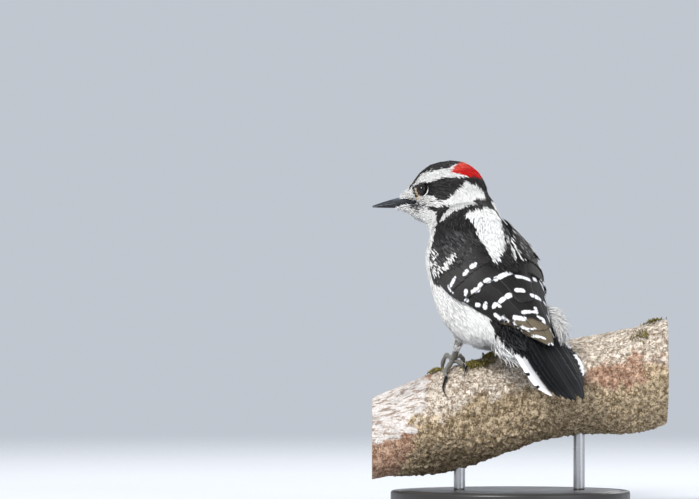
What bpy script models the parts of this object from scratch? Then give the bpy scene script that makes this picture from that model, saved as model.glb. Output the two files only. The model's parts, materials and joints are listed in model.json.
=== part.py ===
"""A still, life-size male downy woodpecker gripping a cut length of branch on a plain display stand.

Lengths below are in millimetres and become metres where a mesh is made. World axes: +Z is up, and the
bird turns its back towards -Y. The origin is the centre of the base's underside.
"""

import math

import bmesh
import bpy
from mathutils import Matrix, Vector

MM = 0.001
GAP = 0.3
RING_SIDES = 24
# Side of the blocks that part the body.
CUT_BLOCK = 200.0

# Pose of the trunk: heading is left of +Y, pitch lifts the breast, roll drops the left side.
TRUNK_CENTRE = Vector((-13.8, -1.0, 103.3))
HEADING = math.radians(32.0)
PITCH = math.radians(45.0)
ROLL = math.radians(-6.4)

# Pose of the head, which is turned almost square to the trunk.
HEAD_CENTRE = Vector((-26.1, 23.0, 137.3))
HEAD_HEADING = math.radians(80.0)
BILL_DROP = math.radians(9.0)

# Trunk sections, tail to neck: place on the axis, sideways and upward offset, half width, rise, drop.
TRUNK_SECTIONS = (
    (-55.0, -4.5, 5.0, 10.0, 1.6, 4.0),
    (-49.0, -4.0, 4.6, 16.4, 3.0, 8.0),
    (-41.0, -2.6, 2.4, 19.2, 7.2, 13.8),
    (-30.0, -0.5, -3.0, 19.8, 16.0, 18.6),
    (-17.0, 0.0, -5.0, 21.6, 21.5, 20.5),
    (-4.0, 0.0, -4.0, 21.6, 22.8, 20.5),
    (8.0, -0.4, -2.0, 20.4, 21.6, 19.5),
    (18.0, -0.9, 0.0, 18.8, 18.6, 18.0),
    (26.0, -1.4, 0.0, 15.6, 15.4, 15.0),
    (31.0, -1.4, 0.0, 9.5, 9.5, 10.0),
)
# Folded wings' outer hull, tip to shoulder: place on the axis, sideways offset, half width, rise.
WING_HULL = (
    (-58.0, -6.0, 5.4, 12.6),
    (-52.0, -5.0, 8.6, 14.4),
    (-44.0, -3.2, 12.8, 16.8),
    (-34.0, -1.2, 17.6, 19.2),
    (-22.0, -0.8, 22.0, 21.2),
    (-10.0, -1.2, 24.0, 22.2),
    (2.0, -1.2, 23.8, 22.4),
    (12.0, -1.0, 22.2, 21.3),
    (20.0, -0.8, 20.0, 19.6),
)
# Angle from the ridge of the back, in degrees, to each wing's upper and lower edge, tip to shoulder.
WING_EDGES = (
    (-58.0, 1.0, 24.0),
    (-53.0, 1.0, 40.0),
    (-44.0, 1.0, 52.0),
    (-34.0, 1.0, 62.0),
    (-20.0, 1.0, 76.0),
    (-12.0, 4.0, 84.0),
    (-2.0, 26.0, 90.0),
    (8.0, 44.0, 94.0),
    (20.0, 66.0, 92.0),
)
WING_THICK_TIP = 1.3
WING_THICK_ROOT = 4.5
WING_THINNED_SHARE = 0.625
WING_STEPS_ALONG = 18
WING_STEPS_ROUND = 7

# Head sections, nape to face: place on the bill's axis, crown, throat, half width.
HEAD_SECTIONS = (
    (-16.4, 1.0, -9.0, 4.0),
    (-14.2, 6.2, -12.0, 7.8),
    (-11.4, 9.4, -13.0, 9.8),
    (-8.0, 11.9, -13.6, 10.8),
    (-3.0, 13.4, -13.8, 11.4),
    (3.0, 13.5, -14.2, 11.3),
    (8.0, 12.6, -14.4, 10.4),
    (12.0, 10.2, -13.6, 9.0),
    (16.0, 6.2, -10.2, 6.8),
    (19.5, 3.4, -5.6, 4.4),
    (22.0, 1.6, -4.2, 2.6),
)
# Neck sections, trunk to head: centre, half width along the head's line, half depth across it.
NECK_SECTIONS = (
    (Vector((-18.5, 6.0, 110.0)), 18.5, 17.0),
    (Vector((-19.0, 12.5, 117.5)), 17.4, 15.6),
    (Vector((-20.7, 18.0, 125.0)), 17.3, 13.8),
    (Vector((-21.7, 21.0, 132.0)), 14.6, 11.6),
    (Vector((-22.5, 22.0, 136.0)), 10.0, 8.0),
)
TRUNK_STEPS = 24
BODY_VOXEL = 1.1
BODY_SMOOTH_STEPS = 14
# Where the head parts from the neck, on the head's axes, and how far that cut leans forward.
NAPE_PLACE = (-6.0, 0.0, -12.0)
NAPE_LEAN = 0.36
# Where the neck parts from the trunk, on the trunk's axes, and how far that cut leans up.
COLLAR_PLACE = (21.0, 0.0, 0.0)
COLLAR_LEAN = 0.35
BODY_FACE_SHARE = 0.058

# Bill, along the head's axis from its root under the face feathers to the chisel tip.
BILL_ROOT = 14.0
BILL_TIP = 34.8
BILL_LINE = -2.1
BILL_TIP_LIFT = 0.5
BILL_HALF_WIDTH = 2.3
BILL_UPPER_DEPTH = 2.5
BILL_LOWER_DEPTH = 2.3
# Shares of the bill's depth and width that are gone at its tip.
BILL_TAPER = 0.88
BILL_NARROWING = 0.78
BILL_STEPS = 10

EYE_FORWARD = 10.6
EYE_UP = 2.1
EYE_SIDE = 7.6
EYE_RADIUS = 2.6

# Tail fan: root and middle feather's tip in trunk coordinates, opened by the half angle.
TAIL_ROOT = (-39.0, -3.6, 7.6)
TAIL_TIP = (-85.8, -7.4, 4.9)
TAIL_HALF_ROOT = 8.8
TAIL_HALF_ANGLE = math.radians(7.5)
TAIL_FEATHERS = 5
TAIL_HALF_VANE = 0.27
TAIL_SHORTENING = (0.0, 0.8, 3.8, 8.5, 14.0)
TAIL_THICK = 1.5
TAIL_THINNING = 0.45
TAIL_CROWN = 3.0
TAIL_EDGE = 1.03
TAIL_COLUMNS = 32
TAIL_ROWS = 5
# Each tip falls back from its point by this depth at half a vane aside, and by its power further out.
TAIL_POINT_DEPTH = 5.0
TAIL_POINT_POWER = 1.8
TAIL_WIDEST_GAP = 3.0

# Branch: place along X, height of the heart, radius.
PERCH_Y = 5.0
PERCH_SECTIONS = (
    (-60.0, 28.6, 18.2),
    (-50.0, 31.4, 19.4),
    (-31.3, 37.0, 22.2),
    (-4.4, 44.3, 22.1),
    (10.8, 48.7, 21.0),
    (30.4, 51.9, 20.8),
    (50.4, 54.6, 22.6),
    (68.0, 59.0, 22.7),
)
PERCH_RINGS = 22
PERCH_LUMP = 0.03
# The lumps' waves: size, count round the branch, twist in radians for each millimetre along, start.
PERCH_WAVES = ((1.0, 3, 0.09, 0.0), (0.7, 5, -0.13, 1.0))

# Legs: where each leaves the belly, its ankle and its foot's joint, as height above the bark.
THIGH_ROOT = (-14.0, 9.5, -14.0)
ANKLES = {"left": Vector((-23.0, -7.0, 69.8)), "right": Vector((-6.0, 12.5, 73.5))}
# Each foot's joint: along the branch, down its near side in degrees, height over the bark.
FOOT_JOINTS = {"left": (-24.8, 8.0, 3.6), "right": (-6.5, -36.0, 3.6)}
# The feathered leg's radius at shares of the way from the flank to the ankle.
LEG_SECTIONS = ((0.0, 5.0), (0.45, 3.6), (0.75, 2.4), (1.0, 1.6))
SHIN_RADIUS = 1.25
# How far the shin's scales run up under its feathers, and its radius at top, middle and foot.
SHIN_TUCK = 0.6
SHIN_SWELLS = (1.15, 1.0, 1.25)
TOE_RADIUS = 1.02
TOE_RADIUS_LOSS = 0.32
CLAW_RADIUS = 0.85
CLAW_STEPS = 5
# Share of the claw's radius that is gone at its point.
CLAW_TAPER = 0.85
# Each toe's knuckles from its foot's joint: along the branch, degrees towards the near side, lift.
TOES = (
    (
        "hind_outer",
        ((-1.6, 6.0, 2.2), (-3.4, 19.0, 1.5), (-3.2, 33.0, 1.5)),
        (-4.6, 47.0, 1.7),
        (-2.4, 59.0, 0.4),
    ),
    (
        "hind_inner",
        ((3.0, 8.0, 2.2), (4.8, 18.0, 1.5)),
        (5.2, 29.0, 2.0),
        (4.2, 38.0, 0.5),
    ),
    (
        "front_outer",
        ((-2.6, -18.0, 5.6), (-4.2, -32.0, 4.0), (-4.6, -44.0, 1.6)),
        (-4.6, -55.0, 2.2),
        (-3.4, -63.0, 0.5),
    ),
    (
        "front_inner",
        ((2.6, -18.0, 4.2), (4.4, -30.0, 2.8), (5.2, -39.0, 1.6)),
        (6.2, -50.0, 2.2),
        (7.0, -58.0, 0.5),
    ),
)

BASE_RADIUS = 52.0
BASE_THICK = 7.0
BASE_ROUNDING = 1.2
ROD_RADIUS = 2.5
ROD_PLACES = (-22.0, 30.0)
# How far a rod runs into the branch before it is cut to the bark's shape.
ROD_OVERREACH = 8.0


def pose(heading, pitch, roll):
    """The forward, left and upward directions of a body turned that way."""
    level_reach = math.cos(pitch)
    forward = Vector((-math.sin(heading) * level_reach, math.cos(heading) * level_reach, math.sin(pitch)))
    level = Vector((-math.cos(heading), -math.sin(heading), 0.0))
    above = forward.cross(level)
    left = level * math.cos(roll) + above * math.sin(roll)
    return forward, left, forward.cross(left)


TRUNK_AXES = pose(HEADING, PITCH, ROLL)
HEAD_AXES = pose(HEAD_HEADING, -BILL_DROP, 0.0)


def in_trunk(along, side, up):
    """World place of a point given on the trunk's own axes."""
    forward, left, dorsal = TRUNK_AXES
    return TRUNK_CENTRE + forward * along + left * side + dorsal * up


def in_head(along, side, up):
    """World place of a point given on the head's own axes."""
    forward, left, above = HEAD_AXES
    return HEAD_CENTRE + forward * along + left * side + above * up


def clear_scene():
    for obj in list(bpy.data.objects):
        bpy.data.objects.remove(obj)


def collection(name):
    made = bpy.data.collections.new(name)
    bpy.context.scene.collection.children.link(made)
    return made


def finish(name, colour, roughness, metallic=0.0):
    """A plain material of one colour."""
    material = bpy.data.materials.new(name)
    material.use_nodes = True
    shader = material.node_tree.nodes["Principled BSDF"]
    shader.inputs["Base Color"].default_value = (*colour, 1.0)
    shader.inputs["Roughness"].default_value = roughness
    shader.inputs["Metallic"].default_value = metallic
    return material


def mesh_object(name, mesh, group, material=None):
    obj = bpy.data.objects.new(name, mesh)
    group.objects.link(obj)
    if material:
        mesh.materials.clear()
        mesh.materials.append(material)
    return obj


def between(table, place, column):
    """Smooth value of a table's column at a place, through its rows in order."""
    rows = len(table)
    last = max(i for i in range(rows - 1) if i == 0 or table[i][0] <= place)
    before, low, high, after = (table[min(max(last + k, 0), rows - 1)] for k in (-1, 0, 1, 2))
    span = high[0] - low[0]
    share = (place - low[0]) / span
    slope_low = (high[column] - before[column]) / max(high[0] - before[0], span) * span
    slope_high = (after[column] - low[column]) / max(after[0] - low[0], span) * span
    return (
        (2 * share**3 - 3 * share**2 + 1) * low[column]
        + (share**3 - 2 * share**2 + share) * slope_low
        + (3 * share**2 - 2 * share**3) * high[column]
        + (share**3 - share**2) * slope_high
    )


def ring(centre, side, up, half_width, rise, drop, count=RING_SIDES):
    """Points round an egg-shaped section, whose upper and lower halves differ."""
    points = []
    for step in range(count):
        turn = 2 * math.pi * step / count
        height = (rise if math.sin(turn) > 0 else drop) * math.sin(turn)
        points.append(centre + side * (half_width * math.cos(turn)) + up * height)
    return points


def loft(name, rings, group, material=None):
    """A closed skin through rings of equal count, its ends closed to their middles."""
    shape = bmesh.new()
    rows = [[shape.verts.new(point * MM) for point in points] for points in rings]
    count = len(rows[0])
    for near, far in zip(rows, rows[1:]):
        for step in range(count):
            shape.faces.new((near[step], near[(step + 1) % count], far[(step + 1) % count], far[step]))
    for row, points in ((rows[0], rings[0]), (rows[-1], rings[-1])):
        middle = shape.verts.new(sum(points, Vector()) / count * MM)
        for step in range(count):
            shape.faces.new((row[step], row[(step + 1) % count], middle))
    bmesh.ops.recalc_face_normals(shape, faces=shape.faces)
    mesh = bpy.data.meshes.new(name)
    shape.to_mesh(mesh)
    shape.free()
    mesh.shade_smooth()
    return mesh_object(name, mesh, group, material)


def adopt(obj, name, group, material=None):
    """Names a newly added primitive, moves it to its collection and gives it its finish."""
    obj.name = name
    for holder in list(obj.users_collection):
        holder.objects.unlink(obj)
    group.objects.link(obj)
    if material:
        obj.data.materials.append(material)
    return obj


def hide(obj):
    obj.hide_render = True
    obj.display_type = "WIRE"
    return obj


def combine(obj, other, operation):
    modifier = obj.modifiers.new(f"{operation.lower()}_{other.name}", "BOOLEAN")
    modifier.object = other
    modifier.operation = operation
    modifier.solver = "EXACT"


def evaluated_copy(obj, name, group, material=None):
    """The object's shape with its modifiers worked out, as a new mesh object in place."""
    graph = bpy.context.evaluated_depsgraph_get()
    mesh = bpy.data.meshes.new_from_object(obj.evaluated_get(graph))
    copy = mesh_object(name, mesh, group, material)
    copy.matrix_world = obj.matrix_world
    return copy


def swollen(obj, name, group, by=GAP):
    """A hidden copy grown along its normals, for cutting a neighbour clear of the piece."""
    copy = hide(evaluated_copy(obj, name, group))
    grow = copy.modifiers.new("grow", "DISPLACE")
    grow.strength = by * MM
    grow.mid_level = 0.0
    return copy


def tube(name, points, radii, group, material=None, sides=1):
    """A closed mesh round a bent line whose thickness changes from point to point."""
    curve = bpy.data.curves.new(name, "CURVE")
    curve.dimensions = "3D"
    curve.bevel_depth = MM
    curve.bevel_resolution = sides
    curve.use_fill_caps = True
    line = curve.splines.new("POLY")
    line.points.add(len(points) - 1)
    for spot, point, radius in zip(line.points, points, radii):
        spot.co = (*(point * MM), 1.0)
        spot.radius = radius
    guide = bpy.data.objects.new(name + "_line", curve)
    group.objects.link(guide)
    obj = evaluated_copy(guide, name, group, material)
    bpy.data.objects.remove(guide)
    shape = bmesh.new()
    shape.from_mesh(obj.data)
    bmesh.ops.remove_doubles(shape, verts=shape.verts, dist=1e-6)
    bmesh.ops.recalc_face_normals(shape, faces=shape.faces)
    shape.to_mesh(obj.data)
    shape.free()
    obj.data.shade_smooth()
    return obj


def smooth_line(knots, steps):
    """A curve through the knots, as evenly parted points."""
    table = [(float(i), *knot) for i, knot in enumerate(knots)]
    last = len(knots) - 1
    places = [last * step / steps for step in range(steps + 1)]
    return [Vector([between(table, place, axis) for axis in (1, 2, 3)]) for place in places]


def whole_body(cutters):
    """Head, neck and trunk as one smooth skin, before it is parted."""
    _, left, dorsal = TRUNK_AXES
    first, last = TRUNK_SECTIONS[0][0], TRUNK_SECTIONS[-1][0]
    trunk_rings = []
    for step in range(TRUNK_STEPS + 1):
        place = first + (last - first) * step / TRUNK_STEPS
        aside, above, width, rise, drop = (between(TRUNK_SECTIONS, place, k) for k in range(1, 6))
        trunk_rings.append(ring(in_trunk(place, aside, above), left, dorsal, width, rise, drop))
    body = hide(loft("body_trunk", trunk_rings, cutters))
    head_forward, head_left, head_up = HEAD_AXES
    head_rings = []
    for place, crown, throat, width in HEAD_SECTIONS:
        middle = (crown + throat) / 2
        half = (crown - throat) / 2
        head_rings.append(ring(in_head(place, 0.0, middle), head_left, head_up, width, half, half))
    combine(body, hide(loft("body_head", head_rings, cutters)), "UNION")
    neck_rings = []
    for middle, width, depth in NECK_SECTIONS:
        neck_rings.append(ring(middle, head_forward, head_left, width, depth, depth))
    combine(body, hide(loft("body_neck", neck_rings, cutters)), "UNION")
    blend = body.modifiers.new("blend", "REMESH")
    blend.mode = "VOXEL"
    blend.voxel_size = BODY_VOXEL * MM
    relax = body.modifiers.new("relax", "SMOOTH")
    relax.factor = 0.5
    relax.iterations = BODY_SMOOTH_STEPS
    thin_out = body.modifiers.new("thin_out", "DECIMATE")
    thin_out.ratio = BODY_FACE_SHARE
    return hide(evaluated_copy(body, "body_whole", cutters))


def half_space(name, spot, normal, group):
    """A large block that fills everything beyond a plane, on the side its normal points to."""
    reach = CUT_BLOCK * MM
    bpy.ops.mesh.primitive_cube_add(size=reach)
    block = adopt(bpy.context.object, name, group)
    turn = normal.to_track_quat("Z", "Y").to_matrix().to_4x4()
    block.matrix_world = Matrix.Translation(spot * MM + normal * (reach / 2)) @ turn
    return hide(block)


def part_body(whole, parts, cutters, sockets, finishes):
    """Parts the whole skin into trunk, neck and head with thin cuts, and opens the head's sockets."""
    nape = in_head(*NAPE_PLACE)
    nape_normal = (HEAD_AXES[2] + HEAD_AXES[0] * NAPE_LEAN).normalized()
    collar = in_trunk(*COLLAR_PLACE)
    collar_normal = (TRUNK_AXES[0] + Vector((0.0, 0.0, COLLAR_LEAN))).normalized()
    half = GAP / 2
    above_nape = half_space("above_nape", nape - nape_normal * half, nape_normal, cutters)
    below_nape = half_space("below_nape", nape + nape_normal * half, -nape_normal, cutters)
    above_collar = half_space("above_collar", collar - collar_normal * half, collar_normal, cutters)
    below_collar = half_space("below_collar", collar + collar_normal * half, -collar_normal, cutters)
    trunk = evaluated_copy(whole, "trunk", parts, finishes["white"])
    combine(trunk, above_collar, "DIFFERENCE")
    neck = evaluated_copy(whole, "neck", parts, finishes["black"])
    combine(neck, below_collar, "DIFFERENCE")
    combine(neck, above_nape, "DIFFERENCE")
    head = evaluated_copy(whole, "head", parts, finishes["black"])
    combine(head, below_nape, "DIFFERENCE")
    combine(head, below_collar, "DIFFERENCE")
    for socket in sockets:
        combine(head, socket, "DIFFERENCE")


def bill_piece(name, rise, drop, group, material=None, extra=0.0):
    """A tapering wedge that ends as a narrow chisel: half of the bill, or the room that it needs."""
    forward, left, above = HEAD_AXES
    lift = GAP / 2 * ((rise > 0) - (drop > 0))
    rings = []
    for step in range(BILL_STEPS + 1):
        share = step / BILL_STEPS
        taper = 1.0 - BILL_TAPER * share**2
        width = BILL_HALF_WIDTH * (1.0 - BILL_NARROWING * share)
        height = BILL_LINE + lift + BILL_TIP_LIFT * share
        centre = in_head(BILL_ROOT - extra + (BILL_TIP - BILL_ROOT) * share, 0.0, height)
        rings.append(
            ring(centre, left, above, width + extra, rise * taper + extra, drop * taper + extra, 16)
        )
    return loft(name, rings, group, material)


def eye(name, side, group, material=None, extra=0.0):
    """An eyeball, or the room that it needs."""
    place = in_head(EYE_FORWARD, side * EYE_SIDE, EYE_UP) * MM
    radius = (EYE_RADIUS + extra) * MM
    bpy.ops.mesh.primitive_uv_sphere_add(segments=14, ring_count=8, radius=radius, location=place)
    ball = adopt(bpy.context.object, name, group, material)
    ball.data.shade_smooth()
    return ball


def hull_point(place, angle, depth):
    """A point under the folded wings' outer hull, at an angle from the ridge of the back."""
    aside, width, rise = (between(WING_HULL, place, k) for k in (1, 2, 3))
    across = (width - depth) * math.sin(angle)
    height = (rise - depth) * math.cos(angle)
    return in_trunk(place, aside + across, height)


def wing(name, side, parts, material):
    """A folded wing: a curved shell from the shoulder to the tip, thickest at the shoulder."""
    first, last = WING_EDGES[0][0], WING_EDGES[-1][0]
    rings = []
    for row in range(WING_STEPS_ALONG + 1):
        share = row / WING_STEPS_ALONG
        place = first + (last - first) * share
        upper = math.radians(between(WING_EDGES, place, 1))
        lower = math.radians(between(WING_EDGES, place, 2))
        fullness = min(1.0, share / WING_THINNED_SHARE)
        thick = WING_THICK_TIP + (WING_THICK_ROOT - WING_THICK_TIP) * fullness
        angles = [upper + (lower - upper) * k / WING_STEPS_ROUND for k in range(WING_STEPS_ROUND + 1)]
        outer = [hull_point(place, side * angle, 0.0) for angle in angles]
        inner = [hull_point(place, side * angle, thick) for angle in reversed(angles)]
        rings.append(outer + inner)
    return loft(name, rings, parts, material)


def tail_tips(length):
    """Share of the half fan and reach of each tail feather's tip, from the left side to the right."""
    tips = []
    for rank in range(-TAIL_FEATHERS, TAIL_FEATHERS + 1):
        if rank:
            order = abs(rank) - 1
            share = (order + 0.35) / (TAIL_FEATHERS - 0.4)
            tips.append((math.copysign(share, rank), length - TAIL_SHORTENING[order]))
    return tips


def tip_reach(share, aim, far):
    """How far out one feather's pointed tip reaches at a share of the fan's half width."""
    aside = min(abs(share - aim) / TAIL_HALF_VANE, TAIL_WIDEST_GAP)
    return far - TAIL_POINT_DEPTH * aside**TAIL_POINT_POWER


def tail(parts, material):
    """The half-open tail: a thin arched fan whose edge runs out to the feathers' points."""
    root = in_trunk(*TAIL_ROOT)
    spine = in_trunk(*TAIL_TIP) - root
    ahead = spine.normalized()
    up = (TRUNK_AXES[2] - ahead * TRUNK_AXES[2].dot(ahead)).normalized()
    right = up.cross(ahead)
    tips = tail_tips(spine.length)
    columns, rows = TAIL_COLUMNS, TAIL_ROWS
    rings = []
    for row in range(rows + 1):
        top, bottom = [], []
        for column in range(columns + 1):
            share = TAIL_EDGE * (2 * column / columns - 1)
            reach = max(tip_reach(share, aim, far) for aim, far in tips)
            out = reach * row / rows
            turn = TAIL_HALF_ANGLE * share
            across = TAIL_HALF_ROOT * share + math.sin(turn) * out
            sag = TAIL_CROWN * share**2
            spot = root + ahead * (math.cos(turn) * out) + right * across - up * sag
            thick = TAIL_THICK * (1.0 - TAIL_THINNING * row / rows)
            top.append(spot + up * thick / 2)
            bottom.append(spot - up * thick / 2)
        rings.append(top + bottom[::-1])
    return loft("tail", rings, parts, material)


def bark_radius(place, turn):
    """Radius of the lumpy branch at a place and an angle round it."""
    lumps = 0.0
    for size, waves, twist, start in PERCH_WAVES:
        lumps += size * math.sin(waves * turn + place * twist + start)
    return between(PERCH_SECTIONS, place, 2) * (1.0 + PERCH_LUMP * lumps)


def on_bark(place, degrees, lift):
    """A point above the bark: down the near side by an angle from the top, at a height over it."""
    turn = math.radians(degrees)
    reach = bark_radius(place, turn) + lift
    heart = between(PERCH_SECTIONS, place, 1)
    return Vector((place, PERCH_Y - math.sin(turn) * reach, heart + math.cos(turn) * reach))


def perch(parts, material):
    """The cut length of branch, with a lumpy round and square-cut ends."""
    first, last = PERCH_SECTIONS[0][0], PERCH_SECTIONS[-1][0]
    rings = []
    for row in range(PERCH_RINGS + 1):
        place = first + (last - first) * row / PERCH_RINGS
        rings.append([on_bark(place, 360.0 * step / RING_SIDES, 0.0) for step in range(RING_SIDES)])
    return loft("perch", rings, parts, material)


def leg(name, side, ankle, parts, material):
    """The feathered shin, from inside the flank down to the ankle."""
    root = in_trunk(THIGH_ROOT[0], side * THIGH_ROOT[1], THIGH_ROOT[2])
    points = [root.lerp(ankle, share) for share, _ in LEG_SECTIONS]
    return tube(name, points, [radius for _, radius in LEG_SECTIONS], parts, material, sides=3)


def foot(side, mirror, parts, cutters, finishes):
    """The scaly shin and four toes as one piece, and each claw as its own."""
    name = f"foot_{side}"
    ankle = ANKLES[side]
    place, tilt, height = FOOT_JOINTS[side]
    joint = on_bark(place, tilt, height)
    down = (joint - ankle).normalized()
    shin_points = [ankle - down * SHIN_TUCK, ankle.lerp(joint, 0.5), joint]
    shin_radii = [SHIN_RADIUS * share for share in SHIN_SWELLS]
    shin = tube(name, shin_points, shin_radii, parts, finishes["horn"])
    for toe, knuckles, bend, point in TOES:
        spots = [on_bark(place + mirror * along, tilt + turn, lift) for along, turn, lift in knuckles]
        line = smooth_line([joint - down * 0.2, *spots], 3 * len(spots))
        last = len(line) - 1
        radii = [TOE_RADIUS * (1.1 - TOE_RADIUS_LOSS * k / last) for k in range(last + 1)]
        toe_mesh = hide(tube(f"{name}_{toe}", line, radii, cutters))
        combine(shin, toe_mesh, "UNION")
        onward = (line[-1] - line[-2]).normalized()
        claw_knots = [line[-1] + onward * (GAP + 0.15)]
        for along, turn, lift in (bend, point):
            claw_knots.append(on_bark(place + mirror * along, tilt + turn, lift))
        claw_line = smooth_line(claw_knots, CLAW_STEPS)
        claw_radii = [CLAW_RADIUS * (1.0 - CLAW_TAPER * k / CLAW_STEPS) for k in range(CLAW_STEPS + 1)]
        tube(f"claw_{side}_{toe}", claw_line, claw_radii, parts, finishes["claw"])
    return shin


def stand(parts, cutters, perch_obj, material):
    """A round base with a softened edge and two rods that reach up to the branch."""
    bpy.ops.mesh.primitive_cylinder_add(
        vertices=40,
        radius=BASE_RADIUS * MM,
        depth=BASE_THICK * MM,
        location=(0.0, 0.0, BASE_THICK * MM / 2),
    )
    base = adopt(bpy.context.object, "stand_base", parts, material)
    edge = base.modifiers.new("soft_edge", "BEVEL")
    edge.width = BASE_ROUNDING * MM
    edge.segments = 2
    edge.limit_method = "ANGLE"
    clearance = swollen(perch_obj, "perch_clearance", cutters)
    for side, place in zip(("left", "right"), ROD_PLACES):
        foot_of_rod = Vector((place, PERCH_Y, BASE_THICK + GAP))
        top = on_bark(place, 180.0, 0.0) + Vector((0.0, 0.0, ROD_OVERREACH))
        radii = (ROD_RADIUS, ROD_RADIUS)
        rod = tube(f"stand_rod_{side}", [foot_of_rod, top], radii, parts, material, sides=6)
        combine(rod, clearance, "DIFFERENCE")


def main():
    clear_scene()
    parts = collection("woodpecker")
    cutters = collection("cutters")
    cutters.hide_render = True
    finishes = {
        "white": finish("white_feathers", (0.80, 0.79, 0.76), 0.85),
        "black": finish("black_feathers", (0.02, 0.02, 0.025), 0.70),
        "horn": finish("grey_scales", (0.22, 0.23, 0.22), 0.55),
        "bill": finish("slate_bill", (0.07, 0.07, 0.08), 0.40),
        "claw": finish("black_claws", (0.03, 0.03, 0.03), 0.35),
        "eye": finish("dark_eyes", (0.01, 0.008, 0.006), 0.05),
        "bark": finish("lichened_bark", (0.42, 0.34, 0.25), 0.90),
        "stand": finish("stand_lacquer", (0.08, 0.075, 0.07), 0.45),
    }
    whole = whole_body(cutters)
    bill_piece("bill_upper", BILL_UPPER_DEPTH, 0.0, parts, finishes["bill"])
    bill_piece("bill_lower", 0.0, BILL_LOWER_DEPTH, parts, finishes["bill"])
    sockets = [hide(bill_piece("bill_room", BILL_UPPER_DEPTH, BILL_LOWER_DEPTH, cutters, extra=GAP))]
    for side, name in ((1.0, "eye_left"), (-1.0, "eye_right")):
        eye(name, side, parts, finishes["eye"])
        sockets.append(hide(eye(f"{name}_room", side, cutters, extra=GAP)))
    part_body(whole, parts, cutters, sockets, finishes)
    body_clearance = swollen(whole, "body_clearance", cutters)
    fan = tail(parts, finishes["black"])
    combine(fan, body_clearance, "DIFFERENCE")
    fan_clearance = swollen(fan, "fan_clearance", cutters)
    for side, name in ((1.0, "wing_left"), (-1.0, "wing_right")):
        folded = wing(name, side, parts, finishes["black"])
        combine(folded, body_clearance, "DIFFERENCE")
        combine(folded, fan_clearance, "DIFFERENCE")
    branch = perch(parts, finishes["bark"])
    for side, mirror in (("left", 1.0), ("right", -1.0)):
        shank = foot(side, mirror, parts, cutters, finishes)
        combine(shank, body_clearance, "DIFFERENCE")
        shin = leg(f"leg_{side}", mirror, ANKLES[side], parts, finishes["white"])
        combine(shin, body_clearance, "DIFFERENCE")
        combine(shin, swollen(shank, f"foot_{side}_clearance", cutters), "DIFFERENCE")
    stand(parts, cutters, branch, finishes["stand"])


main()
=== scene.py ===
"""A life-size male downy woodpecker model on a cut branch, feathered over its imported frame.

Design lengths are in millimetres on the frame's axes and become metres where a mesh is made.
"""

import json
import logging
import math
from collections.abc import Callable
from dataclasses import dataclass, fields
from enum import Enum

import bmesh
import bpy
import numpy as np
from bpy.types import Collection, Material, Mesh, Node, NodeSocket, NodeTree, Object
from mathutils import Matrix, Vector, noise
from mathutils.kdtree import KDTree

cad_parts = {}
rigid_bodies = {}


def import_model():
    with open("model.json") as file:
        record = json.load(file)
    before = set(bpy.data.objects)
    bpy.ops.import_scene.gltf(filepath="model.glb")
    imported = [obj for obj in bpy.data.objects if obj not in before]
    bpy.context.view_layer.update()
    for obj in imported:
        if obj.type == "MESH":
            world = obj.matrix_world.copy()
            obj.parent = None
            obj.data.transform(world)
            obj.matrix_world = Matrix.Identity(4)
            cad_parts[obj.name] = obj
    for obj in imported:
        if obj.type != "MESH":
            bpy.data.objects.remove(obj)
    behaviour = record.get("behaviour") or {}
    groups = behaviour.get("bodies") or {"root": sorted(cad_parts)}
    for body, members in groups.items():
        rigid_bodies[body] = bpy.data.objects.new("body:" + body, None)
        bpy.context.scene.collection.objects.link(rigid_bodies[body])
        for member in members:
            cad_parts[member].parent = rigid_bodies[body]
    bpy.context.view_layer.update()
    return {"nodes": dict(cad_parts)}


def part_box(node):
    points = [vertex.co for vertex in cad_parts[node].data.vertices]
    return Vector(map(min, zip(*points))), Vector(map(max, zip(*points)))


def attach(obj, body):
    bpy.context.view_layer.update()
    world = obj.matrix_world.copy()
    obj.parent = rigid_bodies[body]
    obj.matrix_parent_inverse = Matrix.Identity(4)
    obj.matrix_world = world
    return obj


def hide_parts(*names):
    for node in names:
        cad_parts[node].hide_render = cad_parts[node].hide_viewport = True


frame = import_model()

Array = np.ndarray
Colour = tuple[float, float, float]
MM = 0.001
BODY = "root"
log = logging.getLogger("woodpecker")

# Linear colours of the plumage, horn and stand.
WHITE = (0.83, 0.825, 0.81)
SNOW = (0.90, 0.90, 0.895)
CREAM = (0.70, 0.56, 0.42)
SMOKE = (0.40, 0.40, 0.405)
GREY = (0.12, 0.12, 0.125)
SOOT = (0.0125, 0.0115, 0.0115)
BLACK = (0.0070, 0.0074, 0.0090)
UMBER = (0.020, 0.0165, 0.0145)
OLIVE = (0.135, 0.108, 0.072)
# Painted sheen on the wings' coverts near the shoulder.
SHEEN_FAWN = (0.054, 0.0512, 0.0495)
RED = (0.56, 0.004, 0.003)
ROSE = (0.84, 0.13, 0.09)
BUFF = (0.50, 0.47, 0.43)
MOSS = (0.10, 0.085, 0.02)
LICHEN = (0.42, 0.35, 0.11)


# ---- numbers and shapes


def unit(vectors: Array) -> Array:
    """The vectors scaled to length one."""
    return vectors / np.maximum(np.linalg.norm(vectors, axis=-1, keepdims=True), 1e-12)


def ease(low: float, high: float, value: Array) -> Array:
    """A smooth step from 0 at low to 1 at high."""
    share = np.clip((value - low) / (high - low), 0.0, 1.0)
    return share * share * (3.0 - 2.0 * share)


def mix(first: Array, second: Array, share: Array) -> Array:
    """Blend of two values, or of two sets of colours by a share for each."""
    first = np.asarray(first)
    return first + (second - first) * share


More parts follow.
